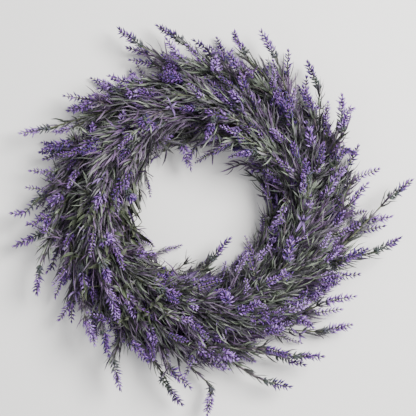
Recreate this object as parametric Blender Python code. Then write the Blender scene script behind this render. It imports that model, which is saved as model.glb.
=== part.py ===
# Lavender wreath: a twisted vine ring with fourteen tied groups of leafy lavender picks,
# all swept round it anticlockwise. It lies on its back, so +Z is the side that faces the
# room, +Y is the top of the wreath, and the origin is under the middle of its outline.
# Units are metres, and the tables of heads are in degrees and millimetres.
import math
import random
from collections import namedtuple

import bmesh
import bpy
import numpy
from mathutils import Vector

# Vine ring: three strands twisted together round one circle. They turn by a third of a
# turn between most ties, so that one of them lies on top under each tie.
RING_RADIUS = 0.130
STRAND_COUNT = 3
STRAND_RADIUS = 0.0038
STRAND_OFFSET = 0.0052
STRAND_THIRDS = 12
STRAND_SIDES = 4
STEPS_A_TIE = 3

# Each bunch has a stalk that runs along the vine and under a tie.
STALK_RADIUS = 0.0019
STALK_TURNS = (-6.5, -2.5, 1.5)
STALK_RISE = 0.0140
TIE_INSIDE = 0.0136
TIE_THICKNESS = 0.002
TIE_WIDTH = 0.009
TIE_SIDES = 8
TIE_BACK = math.radians(1)
RING_HEIGHT = TIE_INSIDE + TIE_THICKNESS

# The foliage grows in lanes that leave the vine nearly along it and swing outward, as a
# logarithmic spiral wound on the ring. A lane is a range of angles round the wreath, and
# a layer is a range of angles round the vine: outward 0, up 90 and into the hole 180.
LANE_COUNT = 14
LANE_STEP = math.tau / LANE_COUNT
FIRST_LANE = math.radians(33)
LANE_ROOT = 0.012
FOLIAGE_START = 0.0173
FLOOR_GAP = 0.0006
BUNCH_GAP = 0.0005
STEM_RADIUS = 0.0015

Layer = namedtuple("Layer", "name sweep low high reach stalk seat spread leaves steps colour")
OUTER = Layer("outer", math.radians(27), math.radians(-40), math.radians(35), 0.172,
              math.radians(0), 0.0113, 0.100, 11, 5, (0.20, 0.13, 0.36))
FACE = Layer("face", math.radians(40), math.radians(35), math.radians(120), 0.082,
             math.radians(90), 0.0113, 0.070, 9, 4, (0.27, 0.20, 0.42))
INNER = Layer("inner", math.radians(34), math.radians(120), math.radians(215), 0.038,
              math.radians(180), 0.0121, 0.036, 7, 4, (0.16, 0.19, 0.14))

# The flower heads, each with the angle of its tip round the wreath and how far out it
# reaches, the lean of its axis from straight outward towards anticlockwise, its length,
# and its kind.
Head = namedtuple("Head", "angle reach lean length kind")
OUTER_HEADS = [Head(*row) for row in (
    (8, 294, 29, 43, "leafy"), (9, 230, 40, 38, "full"), (13, 253, 10, 38, "sparse"),
    (22, 236, 43, 30, "sparse"), (31, 249, 40, 38, "full"), (39, 251, 50, 43, "leafy"),
    (50, 218, 60, 38, "full"), (54, 253, 58, 42, "leafy"), (61, 253, 26, 36, "sparse"),
    (71, 259, 48, 43, "leafy"), (78, 220, 37, 42, "full"), (79, 248, 23, 40, "upright"),
    (84, 208, 0, 38, "full"), (92, 235, 52, 46, "leafy"), (101, 236, 24, 38, "full"),
    (103, 261, 44, 43, "leafy"), (114, 273, 28, 42, "leafy"), (114, 246, 55, 30, "sparse"),
    (115, 229, 55, 34, "sparse"), (124, 220, 32, 38, "full"), (130, 220, 47, 34, "sparse"),
    (140, 244, 32, 40, "sparse"), (143, 224, 50, 46, "full"), (157, 268, 34, 43, "leafy"),
    (158, 224, 45, 40, "full"), (162, 228, 38, 32, "sparse"), (167, 239, 11, 36, "sparse"),
    (176, 208, 52, 38, "full"), (177, 233, 21, 34, "sparse"), (181, 259, 0, 42, "leafy"),
    (184, 235, 8, 44, "full"), (191, 261, 14, 45, "leafy"), (202, 229, 27, 32, "sparse"),
    (207, 251, 55, 40, "leafy"), (218, 246, 17, 34, "sparse"), (221, 236, 50, 34, "sparse"),
    (232, 232, 58, 36, "full"), (238, 232, 51, 40, "full"), (246, 269, 37, 43, "leafy"),
    (251, 217, 60, 38, "full"), (265, 270, 33, 43, "leafy"), (267, 241, 52, 38, "full"),
    (272, 283, -12, 40, "leafy"), (282, 223, 62, 34, "sparse"), (284, 208, 55, 40, "full"),
    (297, 274, 48, 40, "leafy"), (302, 231, 45, 36, "full"), (304, 258, 38, 42, "leafy"),
    (310, 262, 48, 42, "leafy"), (314, 221, 12, 34, "full"), (323, 263, 52, 43, "leafy"),
    (325, 240, 43, 40, "sparse"), (331, 241, 39, 42, "full"), (338, 236, 28, 42, "sparse"),
    (347, 233, 38, 36, "full"), (352, 277, 36, 42, "leafy"), (355, 257, 16, 42, "sparse"),
    (358, 265, 12, 42, "leafy"),
)]
FACE_HEADS = [Head(*row) for row in (
    (17, 150, 70, 40, "full"), (40, 187, 66, 38, "full"), (53, 187, 60, 40, "full"),
    (69, 173, 61, 38, "full"), (87, 132, 80, 36, "sparse"), (106, 195, 56, 38, "full"),
    (119, 191, 30, 34, "full"), (127, 143, 80, 38, "full"), (156, 194, 55, 38, "full"),
    (182, 146, 60, 36, "full"), (202, 124, 100, 38, "full"), (215, 196, 53, 42, "leafy"),
    (234, 187, 54, 42, "full"), (251, 194, 53, 40, "full"), (272, 150, 80, 34, "sparse"),
    (299, 112, 120, 36, "full"), (304, 182, 50, 36, "full"), (326, 150, 70, 36, "sparse"),
    (345, 128, 95, 40, "full"),
)]
INNER_HEADS = [Head(*row) for row in (
    (26, 92, 150, 30, "sparse"), (56, 96, 120, 36, "full"), (102, 58, 188, 38, "full"),
    (170, 92, 105, 42, "leafy"), (235, 94, 120, 34, "sparse"), (316, 57, 92, 42, "leafy"),
)]

# A full or leafy head is a slim core with whorls of three buds that point forward, each
# whorl turned half a step. A sparse head has fewer whorls, with bare stem between them.
Kind = namedtuple("Kind", "whorls reach height pitch")
KINDS = {
    "leafy": Kind(6, 0.0062, (0.022, 0.042), (-14, 12)),
    "full": Kind(5, 0.0066, (0.036, 0.064), (-14, 12)),
    "sparse": Kind(3, 0.0054, (0.016, 0.036), (-14, 12)),
    "upright": Kind(6, 0.0062, (0.046, 0.052), (46, 54)),
}
BUD_LEAN = 0.0042
HEAD_TAPER = 0.42
CORE_RADIUS = 0.0018
BARE_RADIUS = 0.0010
NECK = 0.25
FACE_LIFT = 0.064
FACE_SINK = (0.72, 0.92)
INNER_HEIGHT = (0.020, 0.040)
BRANCH_AT = (0.25, 0.6)
BRANCH_BEFORE = 0.8

# Leaves: narrow blades all over, and a few broad ones low down on the left and below.
Blade = namedtuple("Blade", "length lean width")
NARROW = Blade((0.026, 0.038), (16, 34), 0.0028)
BROAD = Blade((0.021, 0.027), (38, 52), 0.0080)
BROAD_LANES = (5, 6, 7, 8, 9, 10, 11)
BROAD_EVERY = 4
LEAF_KEEL = 0.0010
LEAF_ROOT = 0.5
LEAF_BEND = 0.48
LEAF_CURL = 0.4
LEAF_EVEN = (0.2, 0.8)
LEAF_ENDS = (0.06, 0.9)

# Each piece goes to the roomiest of some places, counted past its rooted share.
LEAF_TRIES = 24
LEAF_ROOTED = 0.34
HEAD_TRIES = 16
HEAD_ROOTED = 0.3
FLAT_ENOUGH = math.radians(2)
BUNCH_ROUGHNESS = 0.7
VINE_BROWN = (0.18, 0.11, 0.06)
TIE_BROWN = (0.11, 0.08, 0.05)


def clear_scene():
    for thing in list(bpy.data.objects):
        bpy.data.objects.remove(thing)


def make_material(name, colour, roughness):
    material = bpy.data.materials.new(name)
    material.use_nodes = True
    shader = material.node_tree.nodes["Principled BSDF"]
    shader.inputs["Base Color"].default_value = (*colour, 1.0)
    shader.inputs["Roughness"].default_value = roughness
    shader.inputs["Metallic"].default_value = 0.0
    return material


def make_object(name, points, faces):
    mesh = bpy.data.meshes.new(name)
    mesh.from_pydata([tuple(point) for point in points], [], faces)
    shape = bmesh.new()
    shape.from_mesh(mesh)
    if shape.calc_volume(signed=True) < 0:
        bmesh.ops.reverse_faces(shape, faces=shape.faces)
    shape.to_mesh(mesh)
    shape.free()
    return bpy.data.objects.new(name, mesh)


def add_to_wreath(piece, material, wreath):
    piece.data.materials.clear()
    piece.data.materials.append(material)
    piece.parent = wreath
    bpy.context.scene.collection.objects.link(piece)


def clamp(value, low, high):
    return min(max(value, low), high)


def turn_between(angle, centre):
    return (angle - centre + math.pi) % math.tau - math.pi


def point_along(path, place):
    index = min(int(place), len(path) - 2)
    return path[index].lerp(path[index + 1], place - index)


# The direction, side and top of a path at each point, carried along without twist.
def path_frames(path):
    frames = []
    side = None
    for index in range(len(path)):
        before = path[max(index - 1, 0)]
        after = path[min(index + 1, len(path) - 1)]
        along = (after - before).normalized()
        if side is None:
            side = along.cross(Vector((0.0, 0.0, 1.0)))
            if side.length < 0.2:
                side = along.cross(Vector((1.0, 0.0, 0.0)))
        side = (side - along * side.dot(along)).normalized()
        frames.append((along, side, along.cross(side)))
    return frames


# Room inside a lane. A point there is (lam, phi, rho): its angle round the wreath with
# the lane's swing taken off, its angle round the vine, and its distance from the vine.
class Lane:
    def __init__(self, layer, number):
        self.layer = layer
        self.centre = FIRST_LANE + number * LANE_STEP

    def swing(self, rho):
        return self.layer.sweep * math.log(rho / LANE_ROOT)

    def world(self, lam, phi, rho):
        theta = lam + self.swing(rho)
        radius = RING_RADIUS + rho * math.cos(phi)
        height = RING_HEIGHT + rho * math.sin(phi)
        return Vector((radius * math.cos(theta), radius * math.sin(theta), height))

    def measure(self, point):
        out = math.hypot(point.x, point.y) - RING_RADIUS
        up = point.z - RING_HEIGHT
        rho = max(math.hypot(out, up), LANE_ROOT)
        phi = math.atan2(up, out)
        if self.layer is INNER and phi < 0:
            phi += math.tau
        return math.atan2(point.y, point.x) - self.swing(rho), phi, rho

    # Moves a point the least way that leaves room for a piece of this half width. The
    # hole is free past the inner layer's reach, for stems and heads and their leaves.
    def keep(self, point, half_width, free):
        margin = half_width + BUNCH_GAP
        lam, phi, rho = self.measure(point)
        if free and rho > self.layer.reach + margin:
            return Vector((point.x, point.y, max(point.z, FLOOR_GAP + margin)))
        rho = max(rho, FOLIAGE_START + margin)
        if not free:
            rho = min(rho, self.layer.reach)
        low = self.layer.low + margin / rho
        high = self.layer.high - margin / rho
        floor = math.asin(clamp((FLOOR_GAP + margin - RING_HEIGHT) / rho, -1.0, 1.0))
        if self.layer is INNER:
            high = min(high, math.pi - floor)
        else:
            low = max(low, floor)
        phi = clamp(phi, low, max(low, high))
        radius = RING_RADIUS + rho * math.cos(phi)
        slope = math.hypot(1.0 / radius, self.layer.sweep / rho)
        half = max(LANE_STEP / 2 - margin * slope, 0.0)
        lam = self.centre + clamp(turn_between(lam, self.centre), -half, half)
        return self.world(lam, phi, rho)

    # A stem from one lane point to another, in steps that grow with rho.
    def path(self, start, end, steps):
        path = []
        for step in range(steps + 1):
            share = step / steps
            ease = share * share * (3.0 - 2.0 * share)
            rho = start[2] * (end[2] / start[2]) ** share
            phi = start[1] + (end[1] - start[1]) * ease
            lam = start[0] + turn_between(end[0], start[0]) * ease
            path.append(self.keep(self.world(lam, phi, rho), STEM_RADIUS, self.layer is INNER))
        return path

    # The stalk under the tie, which runs along the vine and then starts to rise.
    def stalk(self):
        seat = self.layer.seat
        start = self.centre - self.swing(seat)
        path = [self.world(start + math.radians(turn), self.layer.stalk, seat)
                for turn in STALK_TURNS]
        return path + [self.world(self.centre, self.layer.stalk, STALK_RISE)]

    def fork(self):
        return self.centre, self.layer.stalk, FOLIAGE_START + 2 * STEM_RADIUS


# What is already placed in a bunch, as straight stretches with a half width, so that the
# next piece goes where there is most room.
class Crowd:
    def __init__(self):
        self.starts = []
        self.ends = []
        self.widths = []

    def add(self, path, half_width):
        for start, end in zip(path[:-1], path[1:]):
            self.starts.append(tuple(start))
            self.ends.append(tuple(end))
            self.widths.append(half_width)

    # The least distance to a path from everything placed, past the path's rooted share.
    def room(self, path, rooted):
        if not self.starts:
            return 1.0
        starts = numpy.array(self.starts)
        runs = numpy.array(self.ends) - starts
        squares = numpy.maximum((runs * runs).sum(axis=1), 1e-12)
        last = (len(path) - 1) * 3
        least = 1.0
        for step in range(int(rooted * last), last + 1):
            point = numpy.array(point_along(path, step / 3))
            along = numpy.clip(((point - starts) * runs).sum(axis=1) / squares, 0.0, 1.0)
            gaps = numpy.linalg.norm(starts + runs * along[:, None] - point, axis=1)
            least = min(least, float((gaps - self.widths).min()))
        return least


def add_ring(points, centre, frame, radii, lean=0.0):
    along, side, up = frame
    first = len(points)
    for corner, radius in enumerate(radii):
        turn = math.tau * corner / len(radii)
        ahead = lean if radius > CORE_RADIUS else 0.0
        points.append(centre + along * ahead
                      + (side * math.cos(turn) + up * math.sin(turn)) * radius)
    return list(range(first, len(points)))


# Joins two rings with the valleys between the buds, or three corners with six.
def join_rings(faces, lower, upper, lower_even):
    count = len(lower)
    if count == len(upper):
        for corner in range(count):
            beside = (corner + 1) % count
            if count == 3 or (corner % 2 == 0) == lower_even:
                faces.append((lower[corner], lower[beside], upper[corner]))
                faces.append((lower[beside], upper[beside], upper[corner]))
            else:
                faces.append((lower[corner], lower[beside], upper[beside]))
                faces.append((lower[corner], upper[beside], upper[corner]))
        return
    small, large = (lower, upper) if count == 3 else (upper, lower)
    for corner in range(3):
        middle = corner * 2
        fan = [(small[corner], large[middle], large[middle - 1]),
               (small[corner], large[middle + 1], large[middle]),
               (small[corner], small[(corner + 1) % 3], large[middle + 1])]
        faces += fan if small is lower else [tuple(reversed(face)) for face in fan]


# The radii of a head's rings: six corners with a bud at every second one, and three for
# the bare stem between the whorls of a sparse head.
def head_rings(kind):
    whorls = KINDS[kind].whorls
    rings = []
    for whorl in range(whorls):
        share = whorl / (whorls - 1)
        reach = KINDS[kind].reach * (1.0 - HEAD_TAPER * share ** 2)
        core = CORE_RADIUS * (1.0 - HEAD_TAPER * share)
        even = whorl % 2 == 0
        if kind == "sparse" and whorl:
            rings.append([BARE_RADIUS] * 3)
        rings.append([reach if (corner % 2 == 0) == even else core for corner in range(6)])
    return rings


# A stem that ends in a flower head, as one solid.
def sprig(name, stem, axis, kind, thick):
    points = []
    faces = []
    path = stem + axis
    frames = path_frames(path)
    bare = len(stem) + 1
    rings = [[thick] * 3] * bare + head_rings(kind)
    last = add_ring(points, path[0], frames[0], rings[0])
    faces.append(tuple(reversed(last)))
    for index in range(1, len(rings)):
        lean = BUD_LEAN if index >= bare else 0.0
        ring = add_ring(points, path[index], frames[index], rings[index], lean)
        join_rings(faces, last, ring, rings[index - 1][0] > rings[index - 1][1])
        last = ring
    points.append(path[-1])
    tip = len(points) - 1
    for corner in range(len(last)):
        faces.append((last[corner], last[(corner + 1) % len(last)], tip))
    return make_object(name, points, faces)


# A bare stem with three sides.
def stem_rod(name, path, thick):
    points = []
    faces = []
    last = None
    for centre, frame in zip(path, path_frames(path)):
        ring = add_ring(points, centre, frame, [thick] * 3)
        if last:
            join_rings(faces, last, ring, True)
        else:
            faces.append(tuple(reversed(ring)))
        last = ring
    faces.append(tuple(last))
    return make_object(name, points, faces)


# A blade with a keel underneath, bent once at its widest place. The root is a smaller
# copy of the widest section, so the sides between them are flat.
def leaf(name, line, face, width):
    root, middle, tip = line
    ahead = (middle - root).normalized()
    side = ahead.cross(face).normalized()
    under = ahead.cross(side)
    section = (side * width * 0.5, side * width * -0.5, under * LEAF_KEEL)
    points = [root + corner * LEAF_ROOT for corner in section]
    points += [middle + corner for corner in section]
    points.append(tip)
    faces = [(0, 1, 2), (1, 0, 3, 4), (2, 1, 4, 5), (0, 2, 5, 3), (4, 3, 6), (5, 4, 6),
             (3, 5, 6)]
    return make_object(name, points, faces)


def is_closed(shape):
    return all(len(edge.link_faces) == 2 for edge in shape.edges)


# Drops the corners on flat faces and then any scrap that doesn't hold on.
def tidy_union(mesh):
    shape = bmesh.new()
    shape.from_mesh(mesh)
    bmesh.ops.dissolve_limit(shape, angle_limit=FLAT_ENOUGH, verts=shape.verts,
                             edges=shape.edges)
    bmesh.ops.triangulate(shape, faces=shape.faces)
    shells = []
    waiting = set(shape.verts)
    while waiting:
        shell = [waiting.pop()]
        for corner in shell:
            for edge in corner.link_edges:
                other = edge.other_vert(corner)
                if other in waiting:
                    waiting.remove(other)
                    shell.append(other)
        shells.append(shell)
    shells.sort(key=len)
    for shell in shells[:-1]:
        bmesh.ops.delete(shape, geom=shell, context="VERTS")
    closed = is_closed(shape)
    shape.to_mesh(mesh)
    shape.free()
    return closed


# Joins the pieces of one bunch into one closed body.
def fuse(name, pieces):
    whole = pieces[0]
    whole.name = name
    bpy.context.scene.collection.objects.link(whole)
    rest = bpy.data.collections.new(name + "_pieces")
    bpy.context.scene.collection.children.link(rest)
    for piece in pieces[1:]:
        rest.objects.link(piece)
    union = whole.modifiers.new("union", "BOOLEAN")
    union.operation = "UNION"
    union.operand_type = "COLLECTION"
    union.collection = rest
    union.solver = "MANIFOLD"
    graph = bpy.context.evaluated_depsgraph_get()
    joined = bpy.data.meshes.new_from_object(whole.evaluated_get(graph))
    for piece in pieces:
        bpy.data.objects.remove(piece)
    bpy.data.collections.remove(rest)
    return joined


# How high a head's tip lies: outer heads by their kind, face heads well clear of the
# vine, and inner heads low in the hole.
def tip_height(layer, row, rng):
    if layer is OUTER:
        return rng.uniform(*KINDS[row.kind].height)
    if layer is INNER:
        return rng.uniform(*INNER_HEIGHT)
    out = row.reach * 0.001 - RING_RADIUS
    rho = max(math.hypot(out, FACE_LIFT * rng.uniform(*FACE_SINK)), FACE_LIFT)
    rho = min(rho, FACE.reach - KINDS[row.kind].reach)
    return RING_HEIGHT + math.sqrt(max(rho * rho - out * out, 0.0))


# The axis of a head: its foot, a point for each ring, and its tip.
def head_axis(row, height, pitch):
    angle = math.radians(row.angle)
    heading = angle + math.radians(row.lean)
    reach = row.reach * 0.001
    tip = Vector((reach * math.cos(angle), reach * math.sin(angle), height))
    flat = Vector((math.cos(heading), math.sin(heading), 0.0))
    axis = flat * math.cos(pitch) + Vector((0.0, 0.0, math.sin(pitch)))
    rings = len(head_rings(row.kind))
    shares = [0.0] + [(step + NECK) / (rings + NECK) for step in range(rings + 1)]
    return [tip - axis * row.length * 0.001 * (1.0 - share) for share in shares]


# The lane whose middle lies nearest to a head, taken at its middle, or at its foot when
# it grows into the hole.
def home_lane(layer, row):
    axis = head_axis(row, tip_height(layer, row, random.Random(1)), 0.0)
    place = axis[0] if layer is INNER else axis[len(axis) // 2]
    lam = Lane(layer, 0).measure(place)[0]
    return round(turn_between(lam, FIRST_LANE) / LANE_STEP) % LANE_COUNT


def place_head(lane, row, rng):
    pitch = math.radians(rng.uniform(*KINDS[row.kind].pitch))
    axis = head_axis(row, tip_height(lane.layer, row, rng), pitch)
    free = lane.layer is INNER
    width = KINDS[row.kind].reach
    return ([lane.keep(axis[0], STEM_RADIUS, free)]
            + [lane.keep(point, width, free) for point in axis[1:-1]]
            + [lane.keep(axis[-1], STEM_RADIUS, free)])


# A side stem leaves the main stem part way along, and always before the head's foot.
def branch(lane, rng, main, foot):
    root = lane.measure(point_along(main, rng.uniform(*BRANCH_AT) * (len(main) - 1)))
    if root[2] > foot[2] * BRANCH_BEFORE:
        root = lane.measure(main[1])
    return lane.path(root, foot, lane.layer.steps // 2)


# The main stem of a bunch runs on from its stalk to the furthest head, and the other
# heads branch from it. A bunch with no heads has a bare main stem.
def grow_sprigs(lane, rng, crowd, name, heads):
    pieces = []
    paths = []
    for row in sorted(heads, key=lambda row: -abs(row.reach * 0.001 - RING_RADIUS)):
        best = None
        for attempt in range(HEAD_TRIES if paths else 1):
            axis = place_head(lane, row, rng)
            foot = lane.measure(axis[0])
            if paths:
                path = branch(lane, rng, paths[0], foot)
            else:
                path = lane.path(lane.fork(), foot, lane.layer.steps)
            room = crowd.room(path[:-1] + axis, HEAD_ROOTED)
            if best is None or room > best[0]:
                best = (room, axis, path)
        room, axis, path = best
        thick = STEM_RADIUS if paths else STALK_RADIUS
        stem = path[:-1] if paths else lane.stalk() + path[:-1]
        pieces.append(sprig(name + "_sprig", stem, axis, row.kind, thick))
        crowd.add(path, thick)
        crowd.add(axis, KINDS[row.kind].reach)
        paths.append(path)
    if not heads:
        middle = (lane.layer.low + lane.layer.high) / 2
        end = (lane.centre, middle, lane.layer.spread)
        path = lane.path(lane.fork(), end, lane.layer.steps)
        pieces.append(stem_rod(name + "_stem", lane.stalk() + path, STALK_RADIUS))
        crowd.add(path, STALK_RADIUS)
        paths.append(path)
    return pieces, paths


# The root, bend and tip of a leaf that leaves its stem at this share of its length.
def leaf_line(lane, rng, path, share, blade):
    place = share * (len(path) - 1)
    root = point_along(path, place)
    free = lane.layer is INNER and lane.measure(root)[2] > INNER.reach
    along, side, up = path_frames(path)[min(int(place), len(path) - 2)]
    turn = rng.uniform(0.0, math.tau)
    outward = side * math.cos(turn) + up * math.sin(turn)
    lean = math.radians(rng.uniform(*blade.lean))
    length = rng.uniform(*blade.length)
    first = along * math.cos(lean) + outward * math.sin(lean)
    second = along * math.cos(lean * LEAF_CURL) + outward * math.sin(lean * LEAF_CURL)
    middle = lane.keep(root + first * length * LEAF_BEND, blade.width / 2, free)
    tip = lane.keep(middle + second * length * (1.0 - LEAF_BEND), STEM_RADIUS, free)
    return [root, middle, tip], outward


def grow_leaf(lane, rng, crowd, name, path, share, blade):
    best = None
    for attempt in range(LEAF_TRIES):
        line, outward = leaf_line(lane, rng, path, share, blade)
        room = crowd.room(line, LEAF_ROOTED)
        if best is None or room > best[0]:
            best = (room, line, outward)
    room, line, outward = best
    crowd.add(line, blade.width / 2)
    return leaf(name + "_leaf", line, outward, blade.width)


# One bunch of a lane: its stems and heads, and its leaves spread along all the stems. A
# bunch that doesn't close grows again with one leaf fewer.
def bunch(layer, number, heads, wreath):
    name = "%s_bunch_%02d" % (layer.name, number + 1)
    material = make_material(name, layer.colour, BUNCH_ROUGHNESS)
    closed = False
    leaves = layer.leaves
    while not closed:
        rng = random.Random("%s %d" % (name, leaves))
        crowd = Crowd()
        pieces, paths = grow_sprigs(Lane(layer, number), rng, crowd, name, heads)
        rounds = math.ceil(leaves / len(paths))
        for count in range(leaves):
            path = paths[count % len(paths)]
            share = (count // len(paths) + rng.uniform(*LEAF_EVEN)) / rounds
            broad = layer is not OUTER and number in BROAD_LANES
            blade = BROAD if broad and count % BROAD_EVERY == 1 else NARROW
            pieces.append(grow_leaf(Lane(layer, number), rng, crowd, name, path,
                                    clamp(share, *LEAF_ENDS), blade))
        joined = fuse(name, pieces)
        closed = tidy_union(joined)
        leaves -= 1
    add_to_wreath(bpy.data.objects.new(name, joined), material, wreath)


# How far the strands have turned round each other at a place counted in ties.
def strand_turn(place):
    before = int(place)
    last = round(before * STRAND_THIRDS / LANE_COUNT)
    thirds = round((before + 1) * STRAND_THIRDS / LANE_COUNT)
    return math.tau / STRAND_COUNT * (last + (thirds - last) * (place - before))


def strand(number, material, wreath):
    path = []
    steps = LANE_COUNT * STEPS_A_TIE
    for step in range(steps):
        theta = FIRST_LANE - TIE_BACK + math.tau * step / steps
        phi = FACE.stalk + strand_turn(step / STEPS_A_TIE) + math.tau * number / STRAND_COUNT
        radius = RING_RADIUS + STRAND_OFFSET * math.cos(phi)
        height = RING_HEIGHT + STRAND_OFFSET * math.sin(phi)
        path.append(Vector((radius * math.cos(theta), radius * math.sin(theta), height)))
    points = []
    faces = []
    total = steps * STRAND_SIDES
    for step, centre in enumerate(path):
        along = (path[(step + 1) % steps] - path[step - 1]).normalized()
        side = along.cross(Vector((0.0, 0.0, 1.0))).normalized()
        add_ring(points, centre, (along, side, along.cross(side)),
                 [STRAND_RADIUS] * STRAND_SIDES)
        for corner in range(STRAND_SIDES):
            here = step * STRAND_SIDES + corner
            beside = step * STRAND_SIDES + (corner + 1) % STRAND_SIDES
            faces.append((here, beside, (beside + STRAND_SIDES) % total,
                          (here + STRAND_SIDES) % total))
    ring = make_object("vine_strand_%d" % (number + 1), points, faces)
    add_to_wreath(ring, material, wreath)


# A tie is an eight-sided band round the vine and the stalks, with a flat facet below.
def tie(number, material, wreath):
    theta = FIRST_LANE + number * LANE_STEP - TIE_BACK
    out = Vector((math.cos(theta), math.sin(theta), 0.0))
    along = Vector((-math.sin(theta), math.cos(theta), 0.0))
    up = Vector((0.0, 0.0, 1.0))
    centre = out * RING_RADIUS + up * RING_HEIGHT
    to_corner = 1.0 / math.cos(math.pi / TIE_SIDES)
    outside = TIE_INSIDE + TIE_THICKNESS
    points = []
    faces = []
    total = TIE_SIDES * 4
    for corner in range(TIE_SIDES):
        turn = math.tau * (corner + 0.5) / TIE_SIDES
        spoke = (out * math.cos(turn) + up * math.sin(turn)) * to_corner
        for reach, shift in ((TIE_INSIDE, -0.5), (outside, -0.5), (outside, 0.5),
                             (TIE_INSIDE, 0.5)):
            points.append(centre + spoke * reach + along * TIE_WIDTH * shift)
        for edge in range(4):
            here = corner * 4 + edge
            beside = corner * 4 + (edge + 1) % 4
            faces.append((here, beside, (beside + 4) % total, (here + 4) % total))
    band = make_object("stem_tie_%02d" % (number + 1), points, faces)
    add_to_wreath(band, material, wreath)


# Moves the whole wreath so that the origin is under the middle of its outline.
def centre_outline(wreath):
    corners = [vertex.co for piece in wreath.children for vertex in piece.data.vertices]
    for axis in range(2):
        values = [corner[axis] for corner in corners]
        wreath.location[axis] = -(min(values) + max(values)) / 2


def build_wreath():
    clear_scene()
    wreath = bpy.data.objects.new("wreath", None)
    bpy.context.scene.collection.objects.link(wreath)
    vine = make_material("vine", VINE_BROWN, 0.85)
    for number in range(STRAND_COUNT):
        strand(number, vine, wreath)
    cord = make_material("tie", TIE_BROWN, 0.8)
    for number in range(LANE_COUNT):
        tie(number, cord, wreath)
    for layer, rows in ((OUTER, OUTER_HEADS), (FACE, FACE_HEADS), (INNER, INNER_HEADS)):
        homes = [home_lane(layer, row) for row in rows]
        for number in range(LANE_COUNT):
            heads = [row for row, home in zip(rows, homes) if home == number]
            bunch(layer, number, heads, wreath)
    centre_outline(wreath)


build_wreath()
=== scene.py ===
# Lavender wreath on a pale table, seen from straight above. The stems and flower heads
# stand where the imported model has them, and the scene adds the fine leaves and buds.
import math
import random
from collections import namedtuple

import bpy
import numpy
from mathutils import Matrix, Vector


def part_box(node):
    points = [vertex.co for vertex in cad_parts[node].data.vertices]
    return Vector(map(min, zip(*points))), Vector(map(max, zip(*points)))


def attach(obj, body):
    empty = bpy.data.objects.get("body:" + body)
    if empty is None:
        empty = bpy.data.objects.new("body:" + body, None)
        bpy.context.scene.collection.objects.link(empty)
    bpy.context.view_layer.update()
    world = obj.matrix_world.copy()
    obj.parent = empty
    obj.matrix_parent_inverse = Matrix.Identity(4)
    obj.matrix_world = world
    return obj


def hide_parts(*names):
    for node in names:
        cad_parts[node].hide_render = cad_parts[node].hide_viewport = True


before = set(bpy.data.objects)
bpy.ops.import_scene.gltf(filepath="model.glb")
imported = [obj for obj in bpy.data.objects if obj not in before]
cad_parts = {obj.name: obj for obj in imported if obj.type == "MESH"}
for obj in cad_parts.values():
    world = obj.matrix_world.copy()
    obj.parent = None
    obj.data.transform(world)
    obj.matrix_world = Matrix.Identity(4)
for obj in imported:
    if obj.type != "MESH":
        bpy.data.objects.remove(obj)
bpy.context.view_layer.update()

mm = 0.001
skyward = Vector((0.0, 0.0, 1.0))

# The ring of vine and the lanes that the picks grow in, in metres. What would pass through
# the table is pressed into the lowest few millimetres.
ring = {
    "radius": 0.130, "height": 0.0156,
    "laneCount": 14, "firstLane": math.radians(33),
    "laneRoot": 0.012, "foliageStart": 0.0173,
    "floorGap": 0.0006, "bunchGap": 0.0005, "pressed": 0.005,
    "stemRadius": 0.0015, "stalkRadius": 0.0019, "stemTaper": 0.45, "stemSides": 6,
    "stalkTurns": (-6.5, -2.5, 1.5), "stalkRise": 0.0140,
}
laneStep = math.tau / ring["laneCount"]

# Each layer of bunches: how far its lanes swing, its range of angles round the vine, how
# far it reaches, where its stalks sit, and how many leaves and shoots one bunch has.
Layer = namedtuple("Layer", "name sweep low high reach stalk seat spread leaves steps shoots crown")
outerLayer = Layer("outer", math.radians(27), math.radians(-40), math.radians(35), 0.172,
                   math.radians(0), 0.0113, 0.100, 11, 5, 15, (0.034, 0.077))
faceLayer = Layer("face", math.radians(40), math.radians(35), math.radians(120), 0.082,
                  math.radians(90), 0.0113, 0.070, 9, 4, 12, (0.032, 0.068))
innerLayer = Layer("inner", math.radians(34), math.radians(120), math.radians(215), 0.038,
                   math.radians(180), 0.0121, 0.036, 7, 4, 5, (0.021, 0.031))
leavesLeft = {"outer_bunch_11": 9, "inner_bunch_01": 6, "inner_bunch_05": 6}

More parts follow.
